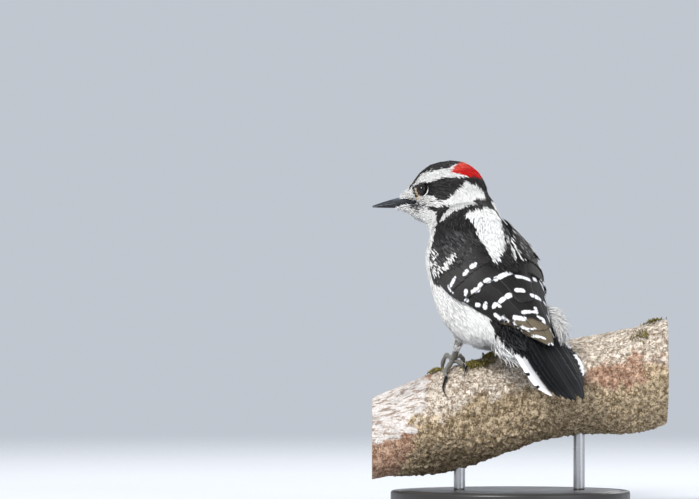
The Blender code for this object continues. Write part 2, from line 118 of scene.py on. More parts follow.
def between(table: tuple, place: Array, column: int = 1) -> Array:
    """Smooth values of a table's column at places along its first column.

    Args:
        table: Rows in rising order of their first number.
        place: Where to read it.
        column: Which column to read.

    Returns:
        One value for each place.
    """
    rows = np.asarray(table, float)
    place = np.clip(np.asarray(place, float), rows[0, 0], rows[-1, 0])
    final = len(rows) - 1
    low = np.clip(np.searchsorted(rows[:, 0], place, side="right") - 1, 0, final - 1)
    before, high, after = np.maximum(low - 1, 0), low + 1, np.minimum(low + 2, final)
    at, value = rows[:, 0], rows[:, column]
    span = at[high] - at[low]
    share = (place - at[low]) / span
    rise_low = (value[high] - value[before]) / np.maximum(at[high] - at[before], span) * span
    rise_high = (value[after] - value[low]) / np.maximum(at[after] - at[low], span) * span
    return (
        (2 * share**3 - 3 * share**2 + 1) * value[low]
        + (share**3 - 2 * share**2 + share) * rise_low
        + (3 * share**2 - 2 * share**3) * value[high]
        + (share**3 - share**2) * rise_high
    )


def smooth_line(knots: Array, steps: int) -> Array:
    """A curve through the knots, as steps + 1 points.

    Args:
        knots: Points that it passes through.
        steps: How many steps it has.

    Returns:
        Its points, one more than its steps.
    """
    knots = np.asarray(knots, float)
    table = np.column_stack([np.arange(len(knots)), knots])
    places = np.linspace(0.0, len(knots) - 1.0, steps + 1)
    return np.column_stack([between(table, places, axis) for axis in (1, 2, 3)])


def distance_to_line(points: Array, line: Array) -> tuple[Array, Array]:
    """Distance of each point to a bent line, and the share along the line of its nearest place.

    Args:
        points: Places.
        line: The line's corners.

    Returns:
        The distances and the shares.
    """
    line = np.asarray(line, float)
    best = np.full(len(points), np.inf)
    share = np.zeros(len(points))
    for index in range(len(line) - 1):
        start, run = line[index], line[index + 1] - line[index]
        along = np.clip(((points - start) @ run) / (run @ run), 0.0, 1.0)
        gap = np.linalg.norm(points - start - along[:, None] * run, axis=1)
        nearer = gap < best
        best[nearer] = gap[nearer]
        share[nearer] = (index + along[nearer]) / (len(line) - 1)
    return best, share


def signed_gap(points: Array, outline: tuple) -> Array:
    """Distance of flat points to a closed outline, negative inside it.

    Args:
        points: Flat places.
        outline: Its corners in order.

    Returns:
        A distance for each point.
    """
    corners = np.asarray(outline, float)
    gap = distance_to_line(points, np.vstack([corners, corners[:1]]))[0]
    inside = np.zeros(len(points), bool)
    x, y = points[:, 0], points[:, 1]
    for (ax, ay), (bx, by) in zip(corners, np.roll(corners, -1, axis=0)):
        crosses = (ay > y) != (by > y)
        reach = (bx - ax) * (y - ay) / (by - ay if by != ay else 1e-9) + ax
        inside ^= crosses & (x < reach)
    return np.where(inside, -gap, gap)


def speckle(points: Array, scale: float, seed: float = 0.0) -> Array:
    """Soft noise from about -1 to 1 at each point, with features of the given size."""
    shift = Vector((seed * 17.3, seed * 5.1, seed * 9.7))
    return np.array([noise.noise(Vector(spot) / scale + shift) for spot in np.asarray(points, float)])


@dataclass(frozen=True)
class Axes:
    """A body's own centre and directions: heading is left of +Y, pitch lifts, roll drops its left."""

    centre: tuple[float, float, float]
    heading: float
    pitch: float
    roll: float = 0.0

    def directions(self) -> Array:
        """Rows are the forward, left and upward directions.

        Returns:
            The three directions, each a row.
        """
        h, p, r = (math.radians(turn) for turn in (self.heading, self.pitch, self.roll))
        forward = np.array([-math.sin(h) * math.cos(p), math.cos(h) * math.cos(p), math.sin(p)])
        level = np.array([-math.cos(h), -math.sin(h), 0.0])
        left = level * math.cos(r) + np.cross(forward, level) * math.sin(r)
        return np.array([forward, left, np.cross(forward, left)])

    def place(self, along: Array, side: Array, up: Array) -> Array:
        """World places of points given on these axes."""
        parts = np.broadcast_arrays(*(np.asarray(v, float) for v in (along, side, up)))
        return np.asarray(self.centre) + np.stack(parts, axis=-1) @ self.directions()

    def local(self, points: Array) -> Array:
        """Along, side and up of world points on these axes."""
        return (np.asarray(points) - np.asarray(self.centre)) @ self.directions().T


TRUNK = Axes((-13.8, -1.0, 103.3), 32.0, 45.0, -6.4)
HEAD = Axes((-26.1, 23.0, 137.3), 80.0, -9.0)
SIDES = {"left": 1.0, "right": -1.0}


def new_mesh(name: str, points: Array, faces: Array | list) -> Mesh:
    """A smooth mesh from points in millimetres and faces.

    Args:
        name: Its name.
        points: Places of its points.
        faces: Numbers of each face's points.

    Returns:
        The mesh.
    """
    mesh = bpy.data.meshes.new(name)
    faces = faces.tolist() if isinstance(faces, np.ndarray) else faces
    mesh.from_pydata((np.asarray(points) * MM).tolist(), [], faces)
    mesh.update()
    mesh.shade_smooth()
    return mesh


def store(mesh: Mesh, **values: Array) -> None:
    """Stores attributes on a mesh's points.

    Args:
        mesh: The mesh.
        **values: By name, whole numbers, numbers or vectors, or the colours of a tint.
    """
    for name, field in values.items():
        field = np.asarray(field)
        if name == "tint":
            kind, word, field = "FLOAT_COLOR", "color", np.column_stack([field, np.ones(len(field))])
        elif field.ndim == 2:
            kind, word = "FLOAT_VECTOR", "vector"
        else:
            kind, word = "INT" if field.dtype.kind == "i" else "FLOAT", "value"
        field = np.ascontiguousarray(field, np.int32 if kind == "INT" else np.float32)
        mesh.attributes.new(name, kind, "POINT").data.foreach_set(word, field.ravel())


def show(name: str, mesh: bpy.types.ID, material: Material | None = None) -> Object:
    """Puts a mesh, lamp or camera in the scene as an object at the origin.

    Args:
        name: Its name.
        mesh: What it shows.
        material: A mesh's finish.

    Returns:
        The object.
    """
    obj = bpy.data.objects.new(name, mesh)
    bpy.context.scene.collection.objects.link(obj)
    if material:
        mesh.materials.clear()
        mesh.materials.append(material)
    return obj


def place_piece(obj: Object, slot: str, *nodes: str) -> Object:
    """Rides a finished piece on the body and hides the frame's nodes that it stands for.

    Args:
        obj: The piece.
        slot: Its finish slot in the record; not used here.
        *nodes: The frame's nodes that it stands for.

    Returns:
        The same piece.
    """
    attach(obj, BODY)
    if nodes:
        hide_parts(*nodes)
    log.info("%s: %d faces", obj.name, len(obj.data.polygons))
    return obj


def turned_out(mesh: Mesh, merge: float = 1e-7) -> Mesh:
    """Merges doubled points and turns all faces outwards.

    Args:
        mesh: The mesh.
        merge: How near doubled points lie, in metres.

    Returns:
        The same mesh.
    """
    shape = bmesh.new()
    shape.from_mesh(mesh)
    bmesh.ops.remove_doubles(shape, verts=shape.verts, dist=merge)
    bmesh.ops.recalc_face_normals(shape, faces=shape.faces)
    shape.to_mesh(mesh)
    shape.free()
    return mesh


def evaluated(obj: Object, name: str) -> Mesh:
    """The plain mesh that an object's modifiers give; the object is removed.

    Args:
        obj: The object with its modifiers.
        name: The mesh's name.

    Returns:
        The mesh.
    """
    graph = bpy.context.evaluated_depsgraph_get()
    mesh = bpy.data.meshes.new_from_object(obj.evaluated_get(graph))
    mesh.name = name
    bpy.data.objects.remove(obj)
    return mesh


def closed_tube(rings: Array) -> tuple[Array, list]:
    """A closed skin through rings of points.

    Args:
        rings: Points by ring and by place round it.

    Returns:
        Its points, ending with the middles of the two ends, and its faces.
    """
    count, sides = rings.shape[:2]
    index = np.arange(count * sides).reshape(count, sides)
    onward = np.roll(index, -1, axis=1)
    faces = np.stack([index[:-1], onward[:-1], onward[1:], index[1:]], -1).reshape(-1, 4).tolist()
    for a, b, c, d in zip(*(row.tolist() for row in (index[0], onward[0], index[-1], onward[-1]))):
        faces += [(b, a, count * sides), (c, d, count * sides + 1)]
    return np.vstack([rings.reshape(-1, 3), rings[0].mean(0), rings[-1].mean(0)]), faces


def path_lengths(line: Array) -> Array:
    """How far along a bent line each of its points lies."""
    return np.concatenate([[0.0], np.cumsum(np.linalg.norm(np.diff(line, axis=0), axis=1))])


def tangent(vectors: Array, normals: Array) -> Array:
    """The vectors laid along a surface and scaled to length one."""
    return unit(vectors - (vectors * normals).sum(1, keepdims=True) * normals)


def rings_round(line: Array, outward: Array, reach: Array, flat: float) -> Array:
    """Rings round a bent line, for closed_tube.

    Args:
        line: Its points.
        outward: About where the first point of each ring lies from the line.
        reach: How far each place round each ring is from the line.
        flat: Its width sideways as a share of its reach outwards.

    Returns:
        Points by ring and by place round it.
    """
    ahead = unit(np.gradient(line, axis=0))
    face = tangent(outward, ahead)
    turns = np.linspace(0.0, 2 * math.pi, reach.shape[1], endpoint=False)[None]
    out, aside = (np.cos(turns) * reach)[..., None], (np.sin(turns) * reach * flat)[..., None]
    return line[:, None] + out * face[:, None] + aside * np.cross(ahead, face)[:, None]


def joined(parts: list[tuple[Array, list]]) -> tuple[Array, list]:
    """Several (points, faces) as one.

    Args:
        parts: Points and faces of each.

    Returns:
        Points and faces of all.
    """
    points, faces, first = [], [], 0
    for spots, cells in parts:
        points.append(spots)
        faces += [tuple(index + first for index in cell) for cell in cells]
        first += len(spots)
    return np.vstack(points), faces


# ---- shader building


class Tree:
    """Short words for building a node tree."""

    def __init__(self, tree: NodeTree) -> None:
        """Holds the tree that nodes are added to."""
        self.tree = tree

    def add(self, kind: str, settings: dict | None = None, **inputs: object) -> Node:
        """Adds a node.

        Args:
            kind: The node's type name.
            settings: Values for the node's own properties.
            **inputs: What feed takes.

        Returns:
            The new node.
        """
        node = self.tree.nodes.new(kind)
        for name, value in (settings or {}).items():
            setattr(node, name, value)
        return self.feed(node, **inputs)

    def feed(self, node: Node, **inputs: object) -> Node:
        """Links or sets a node's inputs.

        Args:
            node: The node.
            **inputs: Sockets by name, with _ for a blank, or in_N by place: a value or a socket.

        Returns:
            The same node.
        """
        for name, value in inputs.items():
            socket = node.inputs[int(name[3:]) if name.startswith("in_") else name.replace("_", " ")]
            if isinstance(value, NodeSocket):
                self.tree.links.new(value, socket)
            else:
                socket.default_value = value
        return node

    def attribute(self, name: str, output: str = "Fac") -> NodeSocket:
        """One of the mesh's attributes, as its Fac, Color or Vector."""
        return self.add("ShaderNodeAttribute", {"attribute_name": name}).outputs[output]

    def where(self) -> NodeSocket:
        """The place on the object's own axes."""
        return self.add("ShaderNodeTexCoord").outputs["Object"]

    def bump(self, strength: float, distance: float, height: object) -> NodeSocket:
        """Output of a Bump node."""
        return self.add("ShaderNodeBump", Strength=strength, Distance=distance, Height=height).outputs[0]

    def shaded(self, colour: object, scale: object) -> NodeSocket:
        """A colour or vector times a factor."""
        return self.add("ShaderNodeVectorMath", {"operation": "SCALE"}, in_0=colour, Scale=scale).outputs[0]

    def barbed(self, barbs: NodeTree, strand: NodeSocket, contrast: float) -> Node:
        """The shared barb group over the mesh's own tint."""
        tint = self.attribute("tint", "Color")
        return self.add(
            "ShaderNodeGroup", {"node_tree": barbs}, Strand=strand, Colour=tint, Contrast=contrast
        )

    def math(self, operation: str, first: object, second: object = 0.0) -> NodeSocket:
        """Output of a Math node."""
        return self.add("ShaderNodeMath", {"operation": operation}, in_0=first, in_1=second).outputs[0]

    def blend(self, share: object, first: object, second: object) -> NodeSocket:
        """Output of a colour Mix node."""
        first, second = ((*tone, 1.0) if isinstance(tone, tuple) else tone for tone in (first, second))
        return self.add(
            "ShaderNodeMix", {"data_type": "RGBA"}, in_0=share, in_6=first, in_7=second
        ).outputs[2]

    def grade(
        self, value: object, low: float, high: float, start: float = 0.0, end: float = 1.0
    ) -> NodeSocket:
        """A value's smooth passage from low to high, given as start to end."""
        ends = {"in_1": low, "in_2": high, "in_3": start, "in_4": end}
        return self.add(
            "ShaderNodeMapRange", {"interpolation_type": "SMOOTHSTEP"}, in_0=value, **ends
        ).outputs[0]

    def grain(self, vector: object, scale: float, detail: float = 3.0, rough: float = 0.55) -> NodeSocket:
        """Value of a Noise Texture."""
        return self.add(
            "ShaderNodeTexNoise", Vector=vector, Scale=scale, Detail=detail, Roughness=rough
        ).outputs[0]

    def scaled(self, vector: object, scale: tuple) -> NodeSocket:
        """A vector passed through a Mapping node with the given scale."""
        return self.add("ShaderNodeMapping", Vector=vector, Scale=scale).outputs[0]


def new_group(name: str, kind: str, inputs: dict, outputs: dict) -> tuple[NodeTree, Tree, Node, Node]:
    """A node group with named sockets.

    Args:
        name: Name of the group.
        kind: Type of tree.
        inputs: Socket types by name, each with its default or None.
        outputs: Socket types by name.

    Returns:
        The group, its builder, and its input and output nodes.
    """
    group = bpy.data.node_groups.new(name, kind)
    for title, (socket_type, value) in inputs.items():
        socket = group.interface.new_socket(title, in_out="INPUT", socket_type=socket_type)
        if value is not None:
            socket.default_value = value
    for title, socket_type in outputs.items():
        group.interface.new_socket(title, in_out="OUTPUT", socket_type=socket_type)
    build = Tree(group)
    return group, build, build.add("NodeGroupInput"), build.add("NodeGroupOutput")


def new_material(name: str) -> tuple[Material, Tree, Node]:
    """A material with its builder and its Principled shader.

    Args:
        name: Its name.

    Returns:
        The material, its builder and its shader.
    """
    material = bpy.data.materials.new(name)
    material.use_nodes = True
    return material, Tree(material.node_tree), material.node_tree.nodes["Principled BSDF"]


def strand_group() -> NodeTree:
    """The shader group that draws fine barbs along a tuft or vane.

    Returns:
        The group.
    """
    group, build, given, out = new_group(
        "fine_barbs", "ShaderNodeTree",
        {
            "Strand": ("NodeSocketVector", None),
            "Colour": ("NodeSocketColor", (0.5, 0.5, 0.5, 1.0)),
            "Contrast": ("NodeSocketFloat", 0.5),
        },
        {"Colour": "NodeSocketColor", "Height": "NodeSocketFloat"},
    )
    streak = build.grain(given.outputs["Strand"], 1.0, 2.0, 0.6)
    centred = build.math("MULTIPLY", build.math("SUBTRACT", streak, 0.5), given.outputs["Contrast"])
    gain = build.add(
        "ShaderNodeMath", {"operation": "MULTIPLY_ADD"}, in_0=centred, in_1=2.0, in_2=1.0
    ).outputs[0]
    build.feed(out, Colour=build.shaded(given.outputs["Colour"], gain), Height=streak)
    return group


@dataclass(frozen=True)
class TuftFinish:
    """Soft contour feathers: the tuft's own tint, with fine strands and painted shade towards their roots."""

    name: str
    contrast: float
    root_shade: float
    gloss: float

    def build(self, barbs: NodeTree) -> Material:
        """Makes the material from the shared barb group.

        Args:
            barbs: The shared barb group.

        Returns:
            The material.
        """
        material, build, shader = new_material(self.name)
        seed = build.attribute("seed")
        parts = build.add("ShaderNodeSeparateXYZ", Vector=build.attribute("strand", "Vector"))
        across = build.math(
            "ADD", build.math("MULTIPLY", parts.outputs[0], 3.6), build.math("MULTIPLY", seed, 61.0)
        )
        where = build.add(
            "ShaderNodeCombineXYZ", X=across, Y=build.math("MULTIPLY", parts.outputs[1], 1.3), Z=seed
        )
        fine = build.barbed(barbs, where.outputs[0], self.contrast)
        # Painted shade, darker towards each tuft's root.
        shade = build.grade(parts.outputs[1], 0.05, 0.6, self.root_shade, 1.0)
        build.feed(
            shader, Base_Color=build.shaded(fine.outputs["Colour"], shade), Roughness=1.0 - self.gloss,
            Normal=build.bump(0.5, 0.00012, fine.outputs["Height"]), Specular_IOR_Level=0.22,
        )
        return material


@dataclass(frozen=True)
class VaneFinish:
    """Flight feathers: ground and edge tints, crisp pale marks, slanting barbs and a shaft."""

    name: str
    gloss: float
    shaft: Colour
    shaft_share: float
    contrast: float = 0.7

    def build(self, barbs: NodeTree) -> Material:
        """Makes the material from the shared barb group.

        Args:
            barbs: The shared barb group.

        Returns:
            The material.
        """
        material, build, shader = new_material(self.name)
        parts = build.add("ShaderNodeSeparateXYZ", Vector=build.attribute("vane", "Vector"))
        aside = build.math("ABSOLUTE", parts.outputs[0])
        slant = build.math("SUBTRACT", parts.outputs[1], build.math("MULTIPLY", aside, 0.9))
        barb, shift = build.math("MULTIPLY", slant, 5.0), build.math("MULTIPLY", aside, 0.5)
        where = build.add("ShaderNodeCombineXYZ", X=barb, Y=shift, Z=parts.outputs[2]).outputs[0]
        fray = build.math("MULTIPLY", build.math("SUBTRACT", build.grain(where, 0.8, 2.0), 0.5), 1.7)
        pale = build.grade(build.math("ADD", build.attribute("mark"), fray), -0.14, 0.14)
        fine = build.barbed(barbs, where, self.contrast)
        white = build.blend(build.grain(where, 1.4), (0.60, 0.61, 0.64), (0.90, 0.90, 0.91))
        colour = build.blend(pale, fine.outputs["Colour"], white)
        shaft = build.grade(aside, 0.07, 0.02)
        colour = build.blend(build.math("MULTIPLY", shaft, self.shaft_share), colour, self.shaft)
        height = build.math("ADD", build.math("MULTIPLY", fine.outputs["Height"], 0.6), shaft)
        build.feed(
            shader, Base_Color=colour, Roughness=build.grade(pale, 0.0, 1.0, 1.0 - self.gloss, 0.8),
            Normal=build.bump(0.6, 0.00015, height), Specular_IOR_Level=0.12,
        )
        return material


@dataclass(frozen=True)
class HornFinish:
    """Bill, claw and scale horn: two tones in fine streaks along the piece, with a soft gloss."""

    name: str
    dark: Colour
    pale: Colour
    roughness: float
    streak: tuple[float, float, float]
    relief: float = 0.00008

    def build(self) -> Material:
        """Makes the material.

        Returns:
            The material.
        """
        material, build, shader = new_material(self.name)
        grain = build.grain(build.scaled(build.where(), self.streak), 1.0, 4.0)
        # A stored share on the mesh shifts the horn towards its pale tone: a painted highlight along the top
        # of the bill, paler bases on the claws.
        share = build.math("ADD", build.math("MULTIPLY", grain, 0.7), build.attribute("worn"))
        build.feed(
            shader, Base_Color=build.blend(build.grade(share, 0.25, 1.1), self.dark, self.pale),
            Roughness=build.grade(grain, 0.0, 1.0, self.roughness - 0.1, self.roughness + 0.12),
            Normal=build.bump(0.5, self.relief, grain), Specular_IOR_Level=0.3,
        )
        return material


@dataclass(frozen=True)
class EyeFinish:
    """A wet dark eye: brown iris round a black pupil under a clear gloss."""

    name: str
    iris: Colour

    def build(self) -> Material:
        """Makes the material.

        Returns:
            The material.
        """
        material, build, shader = new_material(self.name)
        gap = build.attribute("worn")
        fibres = build.grain(build.where(), 2600.0, 3.0)
        ring = build.math("MULTIPLY", build.grade(gap, 0.42, 0.5), build.grade(gap, 0.98, 0.86))
        iris = build.blend(fibres, (0.006, 0.004, 0.003), self.iris)
        build.feed(
            shader, Base_Color=build.blend(ring, (0.0015, 0.0014, 0.0015), iris), Roughness=0.3,
            Specular_IOR_Level=0.0, Coat_Weight=1.0, Coat_Roughness=0.02, Coat_IOR=1.45,
        )
        return material


@dataclass(frozen=True)
class LacquerFinish:
    """Satin lacquer or metal with faint wear and dust in the grain."""

    name: str
    colour: Colour
    roughness: float
    metallic: float
    grain: tuple[float, float, float]

    def build(self) -> Material:
        """Makes the material.

        Returns:
            The material.
        """
        material, build, shader = new_material(self.name)
        where = build.where()
        grain = build.grain(build.scaled(where, self.grain), 1.0, 5.0)
        dust = build.grain(where, 90.0, 4.0)
        lighter = tuple(value * 1.5 + 0.012 for value in self.colour)
        build.feed(
            shader, Base_Color=build.blend(build.math("MULTIPLY", grain, 0.7), self.colour, lighter),
            Roughness=build.grade(dust, 0.2, 0.9, self.roughness - 0.06, self.roughness + 0.14),
            Normal=build.bump(0.25, 0.0001, grain), Metallic=self.metallic,
        )
        return material


# ---- the body's shape and markings

WING_HULL = (
    (-58, -6, 5.4, 12.6), (-52, -5, 8.6, 14.4), (-44, -3.2, 12.8, 16.8), (-34, -1.2, 17.6, 19.2),
    (-22, -0.8, 22, 21.2), (-10, -1.2, 24, 22.2), (2, -1.2, 23.8, 22.4), (12, -1, 22.2, 21.3),
    (20, -0.8, 20, 19.6),
)
WING_EDGES = (
    (-58, 1, 24), (-53, 1, 40), (-44, 1, 52), (-34, 1, 62), (-20, 1, 76), (-12, 4, 84), (-2, 26, 90),
    (8, 44, 94), (20, 66, 92),
)
THIGH_ROOT = (-14.0, 9.5, -14.0)
ANKLES = {"left": (-23.0, -7.0, 69.8), "right": (-6.0, 12.5, 73.5)}
EYE = (10.6, 7.15, 2.1)
EYE_RADIUS = 2.6
# Places along the body's middle, bill to tail, that the coat's lie follows.
SPINE = (
    (-41, 25.5, 135), (-33, 24.2, 136.3), (-26, 23, 137.3), (-19, 21.5, 136), (-16.5, 18.5, 131),
    (-17.5, 14.5, 124.5), (-18, 8, 114), (-14, -1, 103), (-9, -9.5, 93.5), (-4, -18, 84), (2, -27, 73),
)


def hull_place(along: Array, degrees: Array, depth: Array) -> Array:
    """World points under the folded wings' hull, by angle from the ridge of the back (+ is left).

    Args:
        along: Places along the trunk.
        degrees: Angles from the ridge of the back, + on the left.
        depth: How far under the hull.

    Returns:
        A point for each.
    """
    angle = np.radians(degrees)
    aside, width, rise = (between(WING_HULL, along, column) for column in (1, 2, 3))
    return TRUNK.place(along, aside + (width - depth) * np.sin(angle), (rise - depth) * np.cos(angle))


def hull_coordinates(points: Array) -> tuple[Array, Array, Array]:
    """Place along, degrees from the ridge and height over the wings' hull, of world points.

    Args:
        points: World points.

    Returns:
        The three values for each point.
    """
    along, side, up = TRUNK.local(points).T
    aside, width, rise = (between(WING_HULL, along, column) for column in (1, 2, 3))
    across, high = (side - aside) / width, up / rise
    over = (np.hypot(across, high) - 1.0) * (width + rise) / 2
    return along, np.degrees(np.arctan2(across, high)), over


def in_bars(bars: tuple, along: Array, degrees: Array) -> Array:
    """Distance inside any of a set of bars on the hull, negative outside them.

    Args:
        bars: Each bar's start along and degrees, end along and degrees, and half width.
        along: Places along the trunk.
        degrees: Angles from the ridge of the back.

    Returns:
        Millimetres inside the nearest bar.
    """
    arc = np.radians(1.0) * np.mean([between(WING_HULL, along, column) for column in (2, 3)], axis=0)
    spots = np.column_stack([along, degrees * arc, np.zeros(len(along))])
    inside = np.full(len(along), -3.0)
    for start, turn, end, last, half in bars:
        radius = float(np.mean([between(WING_HULL, (start + end) / 2, column) for column in (2, 3)]))
        ends = np.array([[start, math.radians(turn) * radius, 0.0], [end, math.radians(last) * radius, 0.0]])
        inside = np.maximum(inside, half - distance_to_line(spots, ends)[0])
    return inside


class Lie:
    """The way the coat lies, backwards from the bill and down the body."""

    reach = 8.0

    def at(self, points: Array, normals: Array) -> Array:
        """Directions along the surface at its points.

        Args:
            points: World points.
            normals: The surface's directions at them.

        Returns:
            A direction for each point.
        """
        line = np.asarray(SPINE)
        middles, ways = (line[1:] + line[:-1]) / 2, unit(line[1:] - line[:-1])
        gaps = ((points[:, None, :] - middles[None]) ** 2).sum(-1)
        weights = np.exp(-(gaps - gaps.min(1, keepdims=True)) / (2 * self.reach**2))
        flow = weights @ ways
        for side in SIDES:
            root, ankle = leg_line(side)
            gap, share = distance_to_line(points, np.array([root, ankle]))
            near = (ease(0.25, 0.5, share) * ease(6.0, 4.0, gap))[:, None]
            flow = mix(unit(flow), unit(ankle - root), near)
        return tangent(flow, normals)


def leg_line(side: str) -> tuple[Array, Array]:
    """The feathered shin's root inside the flank and its ankle."""
    along, across, up = THIGH_ROOT
    return TRUNK.place(along, SIDES[side] * across, up), np.asarray(ANKLES[side])


class Plumage:
    """The bird's markings, worked out from where a feather shows on the body."""

    brow_top = (
        (-17, 12), (-4.5, 10.6), (-3.4, 9.9), (1.5, 9.5), (7, 9.5), (11, 8.3), (14, 5.2), (16.4, 3.4),
    )
    red_low = ((-19, 1.9), (-16.2, 2.6), (-12, 3.9), (-8.8, 5), (-7, 6.1), (-3, 7.4))
    red_front = ((2, -2.6), (7.4, -2.8), (8.6, -4.4), (9.8, -4.3), (10.9, -6.9), (12.6, -8.4), (15, -9))
    ear = (
        (9.6, -0.6), (8.1, -0.9), (5.9, -1.7), (3.8, -3.5), (1, -4.4), (-1.9, -3.5), (-6.3, -0.3),
        (-7.9, 1.8), (-9.2, 2.9), (-11.2, 1.2), (-13.2, 0.2), (-16.5, -2), (-18, 3.8), (-11.7, 4.3),
        (-9, 4.5), (-6.8, 4.6), (-1, 5.5), (2.2, 5.5), (6.1, 4.7), (7.6, 4.7), (9.7, 4.9), (12.2, 4.6),
        (14.6, 4.3), (14.6, 3.5), (12.6, 3.1), (12.6, 1), (11.8, -0.4),
    )
    malar = (
        (9.8, -5.2), (8.3, -6), (5.2, -6.7), (1, -6.8), (-1.7, -8), (-1, -9.6), (1.2, -11.6), (2.7, -13.6),
        (2.5, -15.5), (2.6, -19), (4.6, -19), (4.4, -16.4), (3.7, -13), (5, -10.5), (5.4, -8.6),
        (7.4, -7.6), (9.4, -7),
    )
    forehead = ((16.6, 5.2), (14.8, 3.4), (14.3, 1.4), (13.7, -0.6))
    hindneck = (
        (-11.6, 4), (-14.6, -1.6), (-15.7, -4), (-16, -8.6), (-14.4, -10.4), (-12, -16), (-30, -16),
        (-30, 4),
    )
    mantle_top = (
        (0, 141), (40, 136.5), (48, 132.8), (54, 131.3), (70, 130.2), (80, 128.8), (89, 127.1),
        (98.6, 123.6), (102, 119.5), (104, 116.5), (105.6, 112.5), (107.2, 108), (111, 100), (180, 90),
    )
    shoulder_low = (
        (-60, 84), (-44, 76), (-38, 70), (-34, 66), (-20, 76), (-12, 86), (-7, 93), (-3.8, 99), (0.4, 104),
        (4, 102), (7.2, 95), (9.4, 86), (13.2, 75.5), (16.7, 64), (21.9, 58), (30, 48),
    )
    stripe = (
        (-17, 17, 14), (-14, 19, 8), (-8, 19, -6), (-4, 18, -15.5), (1.6, 17.5, -19.6), (7, 16, -25),
        (12.5, 16, -34), (17, 17.5, -44), (18.5, -8, -49), (20.5, -22, -53), (22.8, -44, -56),
    )
    # Pale streaks of the lesser coverts: start along and degrees, end along and degrees, half width.
    patches = (
        (-4, 54.5, -4.8, 69, 1.75), (-5, 72.5, -6.4, 76, 1), (2.6, 87.5, 0.6, 95, 0.85),
        (0.6, 80, -2.8, 88, 1), (-1.6, 76, -5, 82.5, 1), (3.6, 72, 5.2, 82, 0.8), (6.6, 75.5, 7.4, 80, 0.6),
        (4.4, 88, 3.4, 92, 0.7), (-1.6, 91, -5, 93, 0.6),
    )

    # White specks of the far shoulder, in the same order with signed degrees.
    flecks = (
        (12.6, -50.5, 8.4, -46, 0.45), (4.8, -32, 2, -28.5, 0.45), (-4.6, -17.5, -8.4, -15.5, 0.6),
        (-9.3, -11, -13, -10.5, 0.6), (-10.6, -16.8, -15.3, -16.6, 0.65), (-15.2, -20.6, -18.6, -24, 0.55),
        (-13.4, -7.4, -16.4, -8, 0.5), (0.4, -24, -2.8, -22.5, 0.45),
    )

    def head_dark(self, head: Array) -> tuple[Array, Array, Array]:
        """How far inside black, red and mottled grey each point of the head lies (negative inside).

        Args:
            head: Points on the head's own axes.

        Returns:
            Millimetres inside each of the three.
        """
        forward, _, up = head.T
        flat = np.column_stack([forward, up])
        crown = np.where(forward < 17.0, between(self.brow_top, forward) - up, 9.0)
        line = distance_to_line(flat, self.forehead)[0] - 0.5
        ring = np.hypot(forward - EYE[0] + 0.4, up - EYE[2]) - 2.55
        patches = (signed_gap(flat, outline) for outline in (self.ear, self.malar, self.hindneck))
        dark = np.minimum.reduce([crown, line, ring, *patches])
        red = np.maximum(between(self.red_low, forward) - up, forward - between(self.red_front, up))
        mottle = np.hypot((forward - 13.2) / 1.9, up + 4.9) - 1.5
        return dark, red, mottle

    def trunk_dark(self, points: Array) -> Array:
        """How far inside the black of the mantle and wings each point lies (negative inside).

        Args:
            points: World points.

        Returns:
            Millimetres inside the black.
        """
        along, degrees, _ = hull_coordinates(points)
        east, south = points[:, 0] + 22.0, points[:, 1] - 20.0
        around = np.degrees(np.arctan2(np.abs(-0.174 * east - 0.985 * south), 0.973 * east - 0.171 * south))
        top = points[:, 2] - between(self.mantle_top, around)
        low = (np.abs(degrees) - between(self.shoulder_low, along)) * 0.36
        left, right = between(self.stripe, along, 1), between(self.stripe, along, 2)
        white = np.maximum(
            np.maximum(degrees - left, right - degrees) * 0.36, np.maximum(along - 22.8, -17.0 - along)
        )
        dark = np.maximum(np.maximum(top, low), -white)
        streaks = np.maximum(
            in_bars(self.patches, along, np.abs(degrees)), in_bars(self.flecks, along, degrees)
        )
        return np.maximum(dark, streaks)

    def tints(self, points: Array, rng: np.random.Generator) -> Array:
        """A colour for each feather that shows at these world points.

        Args:
            points: Where the feathers show.
            rng: The source of random numbers.

        Returns:
            A row for each.
        """
        count = len(points)
        head = HEAD.local(points)
        above_nape = (points - NAPE[0]) @ NAPE[1]
        on_head = ease(-1.0, 1.0, above_nape)
        jitter = rng.normal(0.0, 0.28, count)
        black_head, red, mottle = self.head_dark(head)
        black_trunk = self.trunk_dark(points)
        shawl = np.where(head[:, 2] < -6.5, black_trunk, 9.0)
        jaw = np.where(above_nape > -9.0, signed_gap(head[:, [0, 2]], self.malar), 9.0)
        dark = np.where(on_head > 0.5, np.minimum(black_head, shawl), np.minimum(black_trunk, jaw))
        soft = speckle(points, 3.5)
        grey = np.clip(0.06 + 0.26 * soft + rng.normal(0.0, 0.17, count), 0.0, 1.0)[:, None]
        colours = mix(WHITE, SMOKE, grey * 0.75)
        along, degrees, _ = hull_coordinates(points)
        silk = (np.abs(degrees) < 45.0) & (on_head < 0.5)
        colours[silk] = mix(SNOW, SMOKE, grey[silk] * 0.45)
        lores = (on_head > 0.5) & (head[:, 0] > 7.0) & (head[:, 2] < 0.5) & (head[:, 2] > -7.5)
        colours[lores] = mix(colours[lores], BUFF, 0.5 * rng.random((lores.sum(), 1)))
        stripe = (on_head > 0.5) & (np.abs(head[:, 0] - 13.1) < 1.0) & (np.abs(head[:, 2] - 0.6) < 2.6)
        colours[stripe] = np.array(CREAM) * rng.uniform(0.8, 1.15, (stripe.sum(), 1))
        black = mix(BLACK, UMBER, np.clip(0.5 + 0.6 * soft, 0, 1)[:, None])
